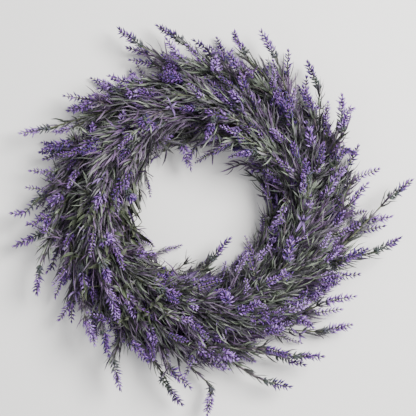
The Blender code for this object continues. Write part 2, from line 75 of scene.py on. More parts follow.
# Flower heads: angle of the tip, reach in mm, lean, length in mm, and kind.
Head = namedtuple("Head", "angle reach lean length kind")
outerHeads = [Head(*row) for row in (
    (8, 294, 29, 43, "leafy"), (9, 230, 40, 38, "full"), (13, 253, 10, 38, "sparse"),
    (22, 236, 43, 30, "sparse"), (31, 249, 40, 38, "full"), (39, 251, 50, 43, "leafy"),
    (50, 218, 60, 38, "full"), (54, 253, 58, 42, "leafy"), (61, 253, 26, 36, "sparse"),
    (71, 259, 48, 43, "leafy"), (78, 220, 37, 42, "full"), (79, 248, 23, 40, "upright"),
    (84, 208, 0, 38, "full"), (92, 235, 52, 46, "leafy"), (101, 236, 24, 38, "full"),
    (103, 261, 44, 43, "leafy"), (114, 273, 28, 42, "leafy"), (114, 246, 55, 30, "sparse"),
    (115, 229, 55, 34, "sparse"), (124, 220, 32, 38, "full"), (130, 220, 47, 34, "sparse"),
    (140, 244, 32, 40, "sparse"), (143, 224, 50, 46, "full"), (157, 268, 34, 43, "leafy"),
    (158, 224, 45, 40, "full"), (162, 228, 38, 32, "sparse"), (167, 239, 11, 36, "sparse"),
    (176, 208, 52, 38, "full"), (177, 233, 21, 34, "sparse"), (181, 259, 0, 42, "leafy"),
    (184, 235, 8, 44, "full"), (191, 261, 14, 45, "leafy"), (202, 229, 27, 32, "sparse"),
    (207, 251, 55, 40, "leafy"), (218, 246, 17, 34, "sparse"), (221, 236, 50, 34, "sparse"),
    (232, 232, 58, 36, "full"), (238, 232, 51, 40, "full"), (246, 269, 37, 43, "leafy"),
    (251, 217, 60, 38, "full"), (265, 270, 33, 43, "leafy"), (267, 241, 52, 38, "full"),
    (272, 283, -12, 40, "leafy"), (282, 223, 62, 34, "sparse"), (284, 208, 55, 40, "full"),
    (297, 274, 48, 40, "leafy"), (302, 231, 45, 36, "full"), (304, 258, 38, 42, "leafy"),
    (310, 262, 48, 42, "leafy"), (314, 221, 12, 34, "full"), (323, 263, 52, 43, "leafy"),
    (325, 240, 43, 40, "sparse"), (331, 241, 39, 42, "full"), (338, 236, 28, 42, "sparse"),
    (347, 233, 38, 36, "full"), (352, 277, 36, 42, "leafy"), (355, 257, 16, 42, "sparse"),
    (358, 265, 12, 42, "leafy"),
)]
faceHeads = [Head(*row) for row in (
    (17, 150, 70, 40, "full"), (40, 187, 66, 38, "full"), (53, 187, 60, 40, "full"),
    (69, 173, 61, 38, "full"), (87, 132, 80, 36, "sparse"), (106, 195, 56, 38, "full"),
    (119, 191, 30, 34, "full"), (127, 143, 80, 38, "full"), (156, 194, 55, 38, "full"),
    (182, 146, 60, 36, "full"), (202, 124, 100, 38, "full"), (215, 196, 53, 42, "leafy"),
    (234, 187, 54, 42, "full"), (251, 194, 53, 40, "full"), (272, 150, 80, 34, "sparse"),
    (299, 112, 120, 36, "full"), (304, 182, 50, 36, "full"), (326, 150, 70, 36, "sparse"),
    (345, 128, 95, 40, "full"),
)]
innerHeads = [Head(*row) for row in (
    (26, 92, 150, 30, "sparse"), (56, 96, 120, 36, "full"), (102, 58, 188, 38, "full"),
    (170, 92, 105, 42, "leafy"), (235, 94, 120, 34, "sparse"), (316, 57, 92, 42, "leafy"),
)]

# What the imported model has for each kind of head: how many rings, how far its buds reach,
# the height of its tip and its pitch. The scene keeps these places.
Kind = namedtuple("Kind", "rings reach height pitch")
kinds = {
    "leafy": Kind(6, 0.0062, (0.022, 0.042), (-14, 12)),
    "full": Kind(5, 0.0066, (0.036, 0.064), (-14, 12)),
    "sparse": Kind(5, 0.0054, (0.016, 0.036), (-14, 12)),
    "upright": Kind(6, 0.0062, (0.046, 0.052), (46, 54)),
}

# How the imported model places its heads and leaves. Each one is tried in several places
# and stands where it has most room.
placing = {
    "neck": 0.25, "faceLift": 0.064, "faceSink": (0.72, 0.92), "innerHeight": (0.020, 0.040),
    "branchAt": (0.25, 0.6), "branchBefore": 0.8, "headTries": 16, "headRooted": 0.3,
    "leafTries": 24, "leafRooted": 0.34, "leafBend": 0.48, "leafCurl": 0.4,
    "leafEven": (0.2, 0.8), "leafEnds": (0.06, 0.9),
    "broadLanes": (5, 6, 7, 8, 9, 10, 11), "broadEvery": 4, "roomSteps": 3,
}
Blade = namedtuple("Blade", "length lean width")
narrowBlade = Blade((0.026, 0.038), (16, 34), 0.0028)
broadBlade = Blade((0.021, 0.027), (38, 52), 0.0080)


def clamp(value, low=0.0, high=1.0):
    return min(max(value, low), high)


def turnBetween(angle, centre):
    return (angle - centre + math.pi) % math.tau - math.pi


def pointAlong(path, place):
    index = min(int(place), len(path) - 2)
    return path[index].lerp(path[index + 1], place - index)


# The direction at this angle from the first one towards the second.
def towards(first, second, angle):
    return first * math.cos(angle) + second * math.sin(angle)


def polar(radius, angle, height):
    return Vector((radius * math.cos(angle), radius * math.sin(angle), height))


def jitter(rng, most):
    return rng.uniform(-most, most)


def anyTurn(rng):
    return rng.uniform(0.0, math.tau)


def anyLean(rng, degrees):
    return math.radians(rng.uniform(*degrees))


# Directions spread evenly round a stem, each up to a sway off its place.
def roundStem(rng, side, up, number, turned, sway):
    for index in range(number):
        yield towards(side, up, turned + math.tau * index / number + jitter(rng, sway))


# The point at this share of a path, with the path's direction, side and top there.
def standAt(path, frames, share):
    place = share * (len(path) - 1)
    return pointAlong(path, place), *frames[min(int(place), len(path) - 1)]


def clampHeight(point, low, high):
    return Vector((point.x, point.y, clamp(point.z, low, high)))


# Direction, side and top of a path at each point, carried along without twist.
def pathFrames(path):
    frames = []
    side = None
    for index in range(len(path)):
        before = path[max(index - 1, 0)]
        after = path[min(index + 1, len(path) - 1)]
        along = (after - before).normalized()
        if side is None:
            side = along.cross(skyward)
            if side.length < 0.2:  # the path starts nearly upright
                side = along.cross(Vector((1.0, 0.0, 0.0)))
        side = (side - along * side.dot(along)).normalized()
        frames.append((along, side, along.cross(side)))
    return frames


# The room that a bunch grows in. Its places are a heading, which is the angle round the
# wreath with the lane's swing taken off, a tilt round the vine and a distance away from it.
class Lane:
    def __init__(self, layer, number):
        self.layer = layer
        self.centre = ring["firstLane"] + number * laneStep
        self.lift = 0.0
        self.slim = shootLook["slim"].get(number, 1.0) if layer is outerLayer else 1.0

    def swing(self, away):
        return self.layer.sweep * math.log(away / ring["laneRoot"])

    def world(self, heading, tilt, away):
        radius = ring["radius"] + away * math.cos(tilt)
        return polar(radius, heading + self.swing(away), ring["height"] + away * math.sin(tilt))

    def measure(self, point):
        out = math.hypot(point.x, point.y) - ring["radius"]
        up = point.z - ring["height"]
        away = max(math.hypot(out, up), ring["laneRoot"])
        tilt = math.atan2(up, out)
        if self.layer is innerLayer and tilt < 0:
            tilt += math.tau
        return math.atan2(point.y, point.x) - self.swing(away), tilt, away

    # The nearest place inside the lane. A free point may go past the lane's reach.
    def keep(self, point, halfWidth, free):
        margin = halfWidth + ring["bunchGap"]
        heading, tilt, away = self.measure(point)
        if free and away > self.layer.reach + margin:
            return Vector((point.x, point.y, max(point.z, ring["floorGap"] + margin)))
        away = max(away, ring["foliageStart"] + margin)
        if not free:
            away = min(away, self.layer.reach)
        low = self.layer.low + margin / away
        high = self.layer.high - margin / away
        floor = math.asin(clamp((ring["floorGap"] + margin - ring["height"]) / away, -1.0, 1.0))
        if self.layer is innerLayer:
            high = min(high, math.pi - floor)
        else:
            low = max(low, floor)
        tilt = clamp(tilt, low, max(low, high))
        radius = ring["radius"] + away * math.cos(tilt)
        slope = math.hypot(1.0 / radius, self.layer.sweep / away)
        half = max(laneStep / 2 - margin * slope, 0.0)
        heading = self.centre + clamp(turnBetween(heading, self.centre), -half, half)
        return self.world(heading, tilt, away)

    def path(self, start, end, steps):
        path = []
        for step in range(steps + 1):
            share = step / steps
            ease = share * share * (3.0 - 2.0 * share)
            away = start[2] * (end[2] / start[2]) ** share
            tilt = start[1] + (end[1] - start[1]) * ease
            heading = start[0] + turnBetween(end[0], start[0]) * ease
            path.append(self.keep(self.world(heading, tilt, away), ring["stemRadius"],
                                  self.layer is innerLayer))
        return path

    def stalk(self):
        start = self.centre - self.swing(self.layer.seat)
        path = [self.world(start + math.radians(turn), self.layer.stalk, self.layer.seat)
                for turn in ring["stalkTurns"]]
        return path + [self.world(self.centre, self.layer.stalk, ring["stalkRise"])]

    def fork(self):
        return self.centre, self.layer.stalk, ring["foliageStart"] + 2 * ring["stemRadius"]


# What stands in a bunch already, so that the next piece goes where there is most room.
class Crowd:
    def __init__(self):
        self.starts = []
        self.ends = []
        self.widths = []

    def add(self, path, halfWidth):
        for start, end in zip(path[:-1], path[1:]):
            self.starts.append(tuple(start))
            self.ends.append(tuple(end))
            self.widths.append(halfWidth)

    def room(self, path, rooted):
        if not self.starts:
            return 1.0
        starts = numpy.array(self.starts)
        runs = numpy.array(self.ends) - starts
        squares = numpy.maximum((runs * runs).sum(axis=1), 1e-12)
        last = (len(path) - 1) * placing["roomSteps"]
        least = 1.0
        for step in range(int(rooted * last), last + 1):
            point = numpy.array(pointAlong(path, step / placing["roomSteps"]))
            along = numpy.clip(((point - starts) * runs).sum(axis=1) / squares, 0.0, 1.0)
            gaps = numpy.linalg.norm(starts + runs * along[:, None] - point, axis=1)
            least = min(least, float((gaps - self.widths).min()))
        return least


def tipHeight(layer, row, rng):
    if layer is outerLayer:
        return rng.uniform(*kinds[row.kind].height)
    if layer is innerLayer:
        return rng.uniform(*placing["innerHeight"])
    out = row.reach * mm - ring["radius"]
    lift = placing["faceLift"]
    away = max(math.hypot(out, lift * rng.uniform(*placing["faceSink"])), lift)
    away = min(away, faceLayer.reach - kinds[row.kind].reach)
    return ring["height"] + math.sqrt(max(away * away - out * out, 0.0))


def headAxis(row, height, pitch):
    angle = math.radians(row.angle)
    tip = polar(row.reach * mm, angle, height)
    flat = polar(1.0, angle + math.radians(row.lean), 0.0)
    axis = towards(flat, skyward, pitch)
    rings = kinds[row.kind].rings
    neck = placing["neck"]
    shares = [0.0] + [(step + neck) / (rings + neck) for step in range(rings + 1)]
    return [tip - axis * row.length * mm * (1.0 - share) for share in shares]


def laneOf(heading):
    return round(turnBetween(heading, ring["firstLane"]) / laneStep) % ring["laneCount"]


def homeLane(layer, row):
    axis = headAxis(row, tipHeight(layer, row, random.Random(1)), 0.0)
    place = axis[0] if layer is innerLayer else axis[len(axis) // 2]
    return laneOf(Lane(layer, 0).measure(place)[0])


def placeHead(lane, row, rng):
    pitch = anyLean(rng, kinds[row.kind].pitch)
    axis = headAxis(row, tipHeight(lane.layer, row, rng), pitch)
    free = lane.layer is innerLayer
    width = kinds[row.kind].reach
    return ([lane.keep(axis[0], ring["stemRadius"], free)]
            + [lane.keep(point, width, free) for point in axis[1:-1]]
            + [lane.keep(axis[-1], ring["stemRadius"], free)])


def branch(lane, rng, main, foot):
    root = lane.measure(pointAlong(main, rng.uniform(*placing["branchAt"]) * (len(main) - 1)))
    if root[2] > foot[2] * placing["branchBefore"]:
        root = lane.measure(main[1])
    return lane.path(root, foot, lane.layer.steps // 2)


# The stems of a bunch with their heads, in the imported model's places. Each sprig is its
# stem path, its head's axis and kind, and its thickness.
def growSprigs(lane, rng, crowd, rows):
    sprigs = []
    paths = []
    for row in sorted(rows, key=lambda row: -abs(row.reach * mm - ring["radius"])):
        tried = []
        for attempt in range(placing["headTries"] if paths else 1):
            axis = placeHead(lane, row, rng)
            foot = lane.measure(axis[0])
            path = branch(lane, rng, paths[0], foot) if paths \
                else lane.path(lane.fork(), foot, lane.layer.steps)
            tried.append((crowd.room(path[:-1] + axis, placing["headRooted"]), axis, path))
        room, axis, path = max(tried, key=lambda entry: entry[0])
        thick = ring["stemRadius"] if paths else ring["stalkRadius"]
        stem = path[:-1] if paths else lane.stalk() + path[:-1]
        sprigs.append((stem, axis, row.kind, thick))
        crowd.add(path, thick)
        crowd.add(axis, kinds[row.kind].reach)
        paths.append(path)
    if not rows:
        middle = (lane.layer.low + lane.layer.high) / 2
        path = lane.path(lane.fork(), (lane.centre, middle, lane.layer.spread), lane.layer.steps)
        sprigs.append((lane.stalk() + path, None, None, ring["stalkRadius"]))
        crowd.add(path, ring["stalkRadius"])
        paths.append(path)
    return sprigs, paths


def leafLine(lane, rng, path, share, blade):
    root, along, side, up = standAt(path, pathFrames(path), share)
    free = lane.layer is innerLayer and lane.measure(root)[2] > innerLayer.reach
    outward = towards(side, up, anyTurn(rng))
    lean = anyLean(rng, blade.lean)
    length = rng.uniform(*blade.length)
    bend = placing["leafBend"]
    first = towards(along, outward, lean) * length * bend
    second = towards(along, outward, lean * placing["leafCurl"]) * length * (1.0 - bend)
    middle = lane.keep(root + first, blade.width / 2, free)
    tip = lane.keep(middle + second, ring["stemRadius"], free)
    return [root, middle, tip], outward


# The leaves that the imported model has, in the same places.
def growLeaves(lane, rng, crowd, paths, number, count):
    grown = []
    rounds = math.ceil(count / len(paths))
    for index in range(count):
        path = paths[index % len(paths)]
        share = (index // len(paths) + rng.uniform(*placing["leafEven"])) / rounds
        broad = lane.layer is not outerLayer and number in placing["broadLanes"]
        blade = broadBlade if broad and index % placing["broadEvery"] == 1 else narrowBlade
        tried = []
        for attempt in range(placing["leafTries"]):
            line, outward = leafLine(lane, rng, path, clamp(share, *placing["leafEnds"]), blade)
            tried.append((crowd.room(line, placing["leafRooted"]), line, outward))
        room, line, outward = max(tried, key=lambda entry: entry[0])
        crowd.add(line, blade.width / 2)
        grown.append((line, outward, blade))
    return grown


# Presses what would reach through the table to just above it.
def pressFlat(points):
    lowest = points[:, 2].min()
    if lowest < 0.0:
        low = points[:, 2] < ring["pressed"]
        squeeze = (ring["pressed"] - ring["floorGap"]) / (ring["pressed"] - lowest)
        points[low, 2] = ring["pressed"] - (ring["pressed"] - points[low, 2]) * squeeze


# Quads between rings of corners, and a cap at each end unless the rings close in a loop.
def joinRings(rings, sides, closed=False):
    total = rings * sides
    quads = []
    for step in range(rings if closed else rings - 1):
        for corner in range(sides):
            here = step * sides + corner
            beside = step * sides + (corner + 1) % sides
            quads.append((here, beside, (beside + sides) % total, (here + sides) % total))
    if closed:
        return [quads]
    return [quads, [tuple(reversed(range(sides))), tuple(range(total - sides, total))]]


# Rings of corners round a path. Each corner has its own reach and its own four marks.
def addRings(batch, path, frames, sides, reachAt, marksAt, slot=0, closed=False):
    points = []
    marks = []
    for step, (centre, (along, side, up)) in enumerate(zip(path, frames)):
        for corner in range(sides):
            outward = towards(side, up, math.tau * corner / sides)
            points.append(centre + outward * reachAt(step, corner))
            marks.append(marksAt(step, corner))
    batch.add(points, marks, joinRings(len(path), sides, closed), slot)


def addObject(name, data):
    piece = bpy.data.objects.new(name, data)
    bpy.context.scene.collection.objects.link(piece)
    return piece


smoothBelow = math.radians(75)  # the sharpest edge that is still shaded smooth


# The points, faces and marks of one piece. Every point is marked with its place along its
# blade or bud and across it, and with the tone and tint of that blade or bud.
class Batch:
    def __init__(self):
        self.points = []
        self.marks = []
        self.faces = []
        self.slots = []
        self.count = 0

    def add(self, points, marks, faces, slot=0):
        self.points.append(numpy.asarray(points, dtype=float).reshape(-1, 3))
        self.marks.append(numpy.asarray(marks, dtype=float).reshape(-1, 4))
        for group in faces:
            group = numpy.asarray(group).reshape(-1, numpy.shape(group)[-1]) + self.count
            self.faces.append(group)
            self.slots.append(numpy.full(len(group), slot))
        self.count += len(self.points[-1])

    # Many blades or buds at once, each with the same faces. The rows hold one point of
    # every blade, and the spots say how far along and across it that point is.
    def addMany(self, rows, spots, tone, tint, faces, slot):
        points = numpy.stack(rows, axis=1)
        ones = numpy.ones(len(points))
        marks = [numpy.stack([ones * along, ones * across, tone, tint], axis=1)
                 for along, across in spots]
        start = (numpy.arange(len(points)) * len(rows))[:, None, None]
        self.add(points, numpy.stack(marks, axis=1),
                 [numpy.array(group)[None] + start for group in faces], slot)

    def build(self, name, materials):
        points = numpy.concatenate(self.points)
        marks = numpy.concatenate(self.marks)
        pressFlat(points)
        points[:, :2] += wreathMiddle[:2]
        mesh = bpy.data.meshes.new(name)
        faces = [face for group in self.faces for face in group.tolist()]
        mesh.from_pydata(points.tolist(), [], faces)
        for index, mark in enumerate(("along", "across", "tone", "tint")):
            layer = mesh.attributes.new(mark, "FLOAT", "POINT")
            layer.data.foreach_set("value", marks[:, index].astype(numpy.float32))
        for material in materials:
            mesh.materials.append(material)
        mesh.polygons.foreach_set("material_index",
                                  numpy.concatenate(self.slots).astype(numpy.int32))
        mesh.shade_smooth()
        mesh.set_sharp_from_angle(angle=smoothBelow)
        return addObject(name, mesh)


# Colours are picked in screen values from 0 to 255, and made linear for the shader here.
def paint(colour):
    linear = [value / 255 / 12.92 if value / 255 <= 0.04045
              else ((value / 255 + 0.055) / 1.055) ** 2.4 for value in colour]
    return (*linear, 1.0)


# Gives a socket a link to another socket, or else a colour or a number.
def feed(tree, socket, value):
    if isinstance(value, bpy.types.NodeSocket):
        tree.links.new(value, socket)
    else:
        socket.default_value = paint(value) if isinstance(value, tuple) else value


def addNode(tree, kind, inputs=None, **settings):
    node = tree.nodes.new(kind)
    for key, value in settings.items():
        setattr(node, key, value)
    for key, value in (inputs or {}).items():
        feed(tree, node.inputs[key], value)
    return node


def addMath(tree, operation, *values):
    return addNode(tree, "ShaderNodeMath", dict(enumerate(values)), operation=operation).outputs[0]


def addMix(tree, factor, first, second):
    return addNode(tree, "ShaderNodeMix", {0: factor, 6: first, 7: second},
                   data_type="RGBA").outputs[2]


# A smooth change from the start value to the end value between two limits.
def addFade(tree, value, low, high, start=0.0, end=1.0):
    return addNode(tree, "ShaderNodeMapRange", {
        "Value": value, "From Min": low, "From Max": high, "To Min": start, "To Max": end,
    }, interpolation_type="SMOOTHSTEP").outputs[0]


def addRamp(tree, factor, stops):
    node = addNode(tree, "ShaderNodeValToRGB", {0: factor})
    ramp = node.color_ramp
    while len(ramp.elements) < len(stops):
        ramp.elements.new(0.5)
    for element, (place, colour) in zip(ramp.elements, stops):
        element.position = place
        element.color = paint(colour)
    return node.outputs[0]


def readMark(tree, mark):
    return addNode(tree, "ShaderNodeAttribute", attribute_name=mark).outputs["Fac"]


# A node group with its named inputs and outputs. The ones called Color carry a colour.
def newGroup(name, inputs, outputs):
    group = bpy.data.node_groups.new(name, "ShaderNodeTree")
    for way, labels in (("INPUT", inputs), ("OUTPUT", outputs)):
        for label in labels:
            kind = "NodeSocketColor" if label == "Color" else "NodeSocketFloat"
            socket = group.interface.new_socket(name=label, in_out=way, socket_type=kind)
            if way == "INPUT":
                socket.default_value = inputs[label]
    given = group.nodes.new("NodeGroupInput").outputs
    return group, given, group.nodes.new("NodeGroupOutput").inputs


mottleLook = {"finer": 9.0, "fineShare": 0.3, "detail": (3.0, 2.0), "roughness": (0.6, 0.7)}
ribLook = {"midribEnd": 0.32}


# Soft blotches, with finer ones in them, that vary a surface's colour, roughness and height.
def makeMottle():
    group, given, result = newGroup("plantMottle", {
        "Color": (0.5, 0.5, 0.5, 1.0), "Scale": 90.0, "Depth": 0.4,
        "Gloss Low": 0.5, "Gloss High": 0.8,
    }, ("Color", "Roughness", "Height"))
    place = addNode(group, "ShaderNodeTexCoord").outputs["Object"]
    scales = (given["Scale"], addMath(group, "MULTIPLY", given["Scale"], mottleLook["finer"]))
    broad, fine = (addNode(group, "ShaderNodeTexNoise", {
        "Vector": place, "Scale": scale, "Detail": mottleLook["detail"][index],
        "Roughness": mottleLook["roughness"][index],
    }).outputs[0] for index, scale in enumerate(scales))
    blotch = addMath(group, "MULTIPLY_ADD", broad, 1.0 - mottleLook["fineShare"],
                     addMath(group, "MULTIPLY", fine, mottleLook["fineShare"]))
    shade = addMath(group, "MULTIPLY", given["Depth"], addMath(group, "SUBTRACT", blotch, 0.5))
    shaded = addNode(group, "ShaderNodeVectorMath", {
        0: given["Color"], "Scale": addMath(group, "MULTIPLY_ADD", shade, 2.0, 1.0),
    }, operation="SCALE").outputs[0]
    spread = addMath(group, "SUBTRACT", given["Gloss High"], given["Gloss Low"])
    gloss = addMath(group, "MULTIPLY_ADD", blotch, spread, given["Gloss Low"])
    for label, value in (("Color", shaded), ("Roughness", gloss), ("Height", fine)):
        feed(group, result[label], value)
    return group


# How far a point lies from the midrib, with fine ribs that run along the blade.
def makeRibs():
    group, given, result = newGroup("bladeRibs", {"Ribs": 3.0, "Edge Start": 0.5},
                                    ("Edge", "Midrib", "Height"))
    away = addMath(group, "ABSOLUTE", readMark(group, "across"))
    turn = addMath(group, "MULTIPLY", addMath(group, "MULTIPLY", away, math.tau), given["Ribs"])
    wave = addMath(group, "MULTIPLY_ADD", addMath(group, "SINE", turn), 0.5, 0.5)
    feed(group, result["Edge"], addFade(group, away, given["Edge Start"], 1.0))
    feed(group, result["Midrib"], addFade(group, away, 0.0, ribLook["midribEnd"], 1.0, 0.0))
    feed(group, result["Height"], wave)
    return group


mottleGroup = makeMottle()
ribGroup = makeRibs()


def newMaterial(name):
    material = bpy.data.materials.new(name)
    material.use_nodes = True
    tree = material.node_tree
    return material, tree, tree.nodes["Principled BSDF"]


# Sends a colour through the mottle and on to the shader, with a bump from the heights.
def finishSurface(tree, shader, colour, look, height=None):
    mottle = addNode(tree, "ShaderNodeGroup", {
        "Color": colour, "Scale": look["mottleScale"], "Depth": look["mottleDepth"],
        "Gloss Low": look["gloss"][0], "Gloss High": look["gloss"][1],
    }, node_tree=mottleGroup).outputs
    total = mottle["Height"]
    if height is not None:
        total = addMath(tree, "MULTIPLY_ADD", height, look["ribShare"], total)
    bump = addNode(tree, "ShaderNodeBump", {"Strength": look["bump"],
                                            "Distance": look["relief"], "Height": total})
    feed(tree, shader.inputs["Base Color"], mottle["Color"])
    feed(tree, shader.inputs["Roughness"], mottle["Roughness"])
    feed(tree, shader.inputs["Normal"], bump.outputs[0])


# Blades: the tone picks a place on a ramp, the tint adds lilac, edges run paler, and painted shade
# darkens each blade towards its root, where it stands deep in the wreath.
def makeLeafMaterial(name, look):
    material, tree, shader = newMaterial(name)
    ribs = addNode(tree, "ShaderNodeGroup", {"Ribs": look["ribs"], "Edge Start": look["edgeStart"]},
                   node_tree=ribGroup).outputs
    along = readMark(tree, "along")
    colour = addRamp(tree, readMark(tree, "tone"), look["tones"])
    for factor, layer in (
            (readMark(tree, "tint"), "tintColour"),
            (addMath(tree, "MULTIPLY", ribs["Edge"], look["edgeShare"]), "edgeColour"),
            (addMath(tree, "MULTIPLY", ribs["Midrib"], look["midribShare"]), "midribColour"),
            (addMath(tree, "MULTIPLY", along, look["tipShare"]), "tipColour"),
            # painted shade: near black at the blade's root, fading out by about 0.6 of its length
            (addMath(tree, "MULTIPLY_ADD", along, -look["rootShadeFade"] * look["rootShadeShare"],
                     look["rootShadeShare"]), "paintedRootShade")):
        colour = addMix(tree, factor, colour, look[layer])
    finishSurface(tree, shader, colour, look, ribs["Height"])
    return material


leafLook = {
    "tones": [(0.0, (13, 16, 10)), (0.35, (27, 36, 23)), (0.7, (53, 66, 48)), (1.0, (122, 136, 112))],
    "tintColour": (112, 70, 130),
    "edgeColour": (122, 130, 120), "edgeStart": 0.5, "edgeShare": 0.38,
    "midribColour": (36, 50, 34), "midribShare": 0.5,
    "tipColour": (120, 108, 134), "tipShare": 0.16,
    # painted shade: the root ends of the blades are darkened to stand for the shade deep in the
    # foliage
    "paintedRootShade": (15, 11, 14), "rootShadeShare": 0.95, "rootShadeFade": 1.6,
    "ribs": 3.0, "ribShare": 0.6,
    "mottleScale": 90.0, "mottleDepth": 0.55, "gloss": (0.42, 0.72),
    "bump": 0.5, "relief": 0.0003,
}
lilacLook = dict(leafLook, tones=[(0.0, (76, 50, 106)), (1.0, (146, 116, 180))],
                 tintColour=(122, 92, 156), edgeColour=(160, 138, 188),
                 midribColour=(84, 62, 112), tipColour=(132, 98, 172))
oliveLook = dict(leafLook, tones=[(0.0, (20, 34, 23)), (1.0, (58, 78, 50))],
                 tintColour=(84, 82, 76), edgeColour=(112, 122, 94),
                 edgeStart=0.75, edgeShare=0.6, midribColour=(112, 124, 88),
                 midribShare=0.5, tipColour=(104, 100, 84), tipShare=0.2, ribs=5.0)
paleLook = dict(leafLook, tones=[(0.0, (60, 78, 54)), (1.0, (126, 144, 114))],
                tintColour=(130, 116, 142), edgeColour=(156, 152, 150),
                midribColour=(74, 90, 60), tipColour=(132, 118, 142), ribs=4.0)
stemLook = {
    "tones": [(0.0, (50, 52, 38)), (0.6, (76, 82, 58)), (1.0, (96, 84, 92))],
    "mottleScale": 120.0, "mottleDepth": 0.6, "gloss": (0.55, 0.8),
    "bump": 0.6, "relief": 0.0004,
}
# Buds run from a dark cup to a pale tip, and those at the foot of a leafy head are green.
budLook = {
    "cup": [(0.0, (28, 11, 38)), (1.0, (60, 34, 84))],
    "petal": [(0.0, (54, 30, 100)), (0.5, (111, 66, 146)), (1.0, (169, 134, 211))],
    "petalFrom": (0.15, 0.7), "green": (52, 66, 50),
    "mottleScale": 260.0, "mottleDepth": 0.5, "gloss": (0.5, 0.8),
    "bump": 0.5, "relief": 0.0003,
}


def makeStemMaterial(name, look):
    material, tree, shader = newMaterial(name)
    finishSurface(tree, shader, addRamp(tree, readMark(tree, "tone"), look["tones"]), look)
    return material


def makeBudMaterial(name, look):
    material, tree, shader = newMaterial(name)
    tone = readMark(tree, "tone")
    petalShare = addFade(tree, readMark(tree, "along"), *look["petalFrom"])
    colour = addMix(tree, petalShare, addRamp(tree, tone, look["cup"]),
                    addRamp(tree, tone, look["petal"]))
    colour = addMix(tree, readMark(tree, "tint"), colour, look["green"])
    finishSurface(tree, shader, colour, look)
    return material


foliageMaterials = [
    makeLeafMaterial("greyLeaf", leafLook), makeLeafMaterial("lilacLeaf", lilacLook),
    makeLeafMaterial("oliveLeaf", oliveLook), makeStemMaterial("greenStem", stemLook),
    makeBudMaterial("lavenderBud", budLook), makeLeafMaterial("paleLeaf", paleLook),
]
greySlot, lilacSlot, oliveSlot, stemSlot, budSlot, paleSlot = range(6)
print("materials ready")

# Where along a blade its sections stand, and how wide it is there. The corners of a
# section have their place across, their rise, and whether they lie on the underside.
# Narrow blades have rolled edges, so their section is a low roof, and broad blades are
# folded sheets.
bladeShape = {
    "narrow": {"places": (0.0, 0.28, 0.66, 1.0), "widths": (0.42, 1.0, 0.84, 0.0),
               "section": ((-1, 0.0, 0), (0, 0.84, 0), (1, 0.0, 0)), "thickness": 0.0},
    "broad": {"places": (0.0, 0.18, 0.42, 0.72, 1.0), "widths": (0.2, 0.8, 1.0, 0.62, 0.0),
              "section": ((-1, 0.82, 0), (0, 0.0, 0), (1, 0.82, 0), (0, 0.0, 1)),
              "thickness": 0.00034},
    "thinnest": 0.3,
}


# All the blades of one material in one go. Each blade is root, middle, tip, the side it
# faces, its width, tone and tint.
def addBlades(batch, blades, profile, slot):
    if not blades:
        return
    root, middle, tip, facing, width, tone, tint = (numpy.array(part) for part in zip(*blades))
    bend = placing["leafBend"]
    pull = (middle - root * (1 - bend) ** 2 - tip * bend ** 2) / (2 * bend * (1 - bend))
    shape = bladeShape[profile]
    rows = []
    spots = []
    for place, share in zip(shape["places"], shape["widths"]):
        centre = root * (1 - place) ** 2 + pull * 2 * place * (1 - place) + tip * place ** 2
        ahead = (pull - root) * (1 - place) + (tip - pull) * place
        ahead /= numpy.linalg.norm(ahead, axis=1)[:, None] + 1e-9
        side = numpy.cross(ahead, facing)
        side /= numpy.linalg.norm(side, axis=1)[:, None] + 1e-9
        up = numpy.cross(side, ahead)
        half = (width * share / 2)[:, None]
        depth = up * shape["thickness"] * max(share, bladeShape["thinnest"])
        for across, rise, under in shape["section"] if share else [(0, 0.0, 0)]:
            rows.append(centre + (side * half * across + up * half * rise - depth * under))
            spots.append((place, across))
    around = len(shape["section"])
    stations = len(shape["places"]) - 1
    quads = numpy.array(joinRings(stations, around)[0])[:, [1, 0, 3, 2]]
    last = (stations - 1) * around
    tips = [(last + (corner + 1) % around, last + corner, last + around)
            for corner in range(around)]
    batch.addMany(rows, spots, tone, tint, [[tuple(range(around))], quads, tips], slot)


budShape = {"sides": 5, "places": (0.2, 0.5), "widths": (0.66, 1.0), "steep": 0.8}


# All the buds in one go. Each is its foot, its direction, length, width, tone and green.
def addBuds(batch, buds):
    if not buds:
        return
    foot, ahead, length, width, tone, green = (numpy.array(part) for part in zip(*buds))
    steep = numpy.abs(ahead[:, 2:3]) > budShape["steep"]
    side = numpy.cross(ahead, numpy.where(steep, [[1.0, 0.0, 0.0]], [[0.0, 0.0, 1.0]]))
    side /= numpy.linalg.norm(side, axis=1)[:, None]
    up = numpy.cross(ahead, side)
    rows = [foot]
    spots = [(0.0, 0.0)]
    sides = budShape["sides"]
    for place, share in zip(budShape["places"], budShape["widths"]):
        for corner in range(sides):
            reach = towards(side, up, math.tau * corner / sides) * (width * share / 2)[:, None]
            rows.append(foot + ahead * (length * place)[:, None] + reach)
            spots.append((place, 0.0))
    rows.append(foot + ahead * length[:, None])
    spots.append((1.0, 0.0))
    tris = []
    for corner in range(sides):
        beside = (corner + 1) % sides
        tris.append((0, 1 + corner, 1 + beside))
        tris.append((1 + sides + corner, 1 + 2 * sides, 1 + sides + beside))
    quads = numpy.array(joinRings(2, sides)[0])[:, [0, 3, 2, 1]] + 1
    batch.addMany(rows, spots, tone, green, [tris, quads], budSlot)


# A path with rounded bends, with this many steps between its points.
def smoothPath(path, steps):
    smooth = []
    for index in range(len(path) - 1):
        before = path[max(index - 1, 0)]
        after = path[min(index + 2, len(path) - 1)]
        first, last = path[index], path[index + 1]
        for step in range(steps):
            share = step / steps
            smooth.append(0.5 * (first * 2 + (last - before) * share
                                 + (before * 2 - first * 5 + last * 4 - after) * share ** 2
                                 + (first * 3 - before - last * 3 + after) * share ** 3))
    return smooth + [path[-1]]


# A stem along a path, which loses this share of its thickness towards its end.
def addStem(batch, path, radius, taper, sides, tone):
    addRings(batch, path, pathFrames(path), sides,
             lambda step, corner: radius * (1.0 - taper * step / (len(path) - 1)),
             lambda step, corner: (step / len(path), 0.0, tone, 0.0), stemSlot)


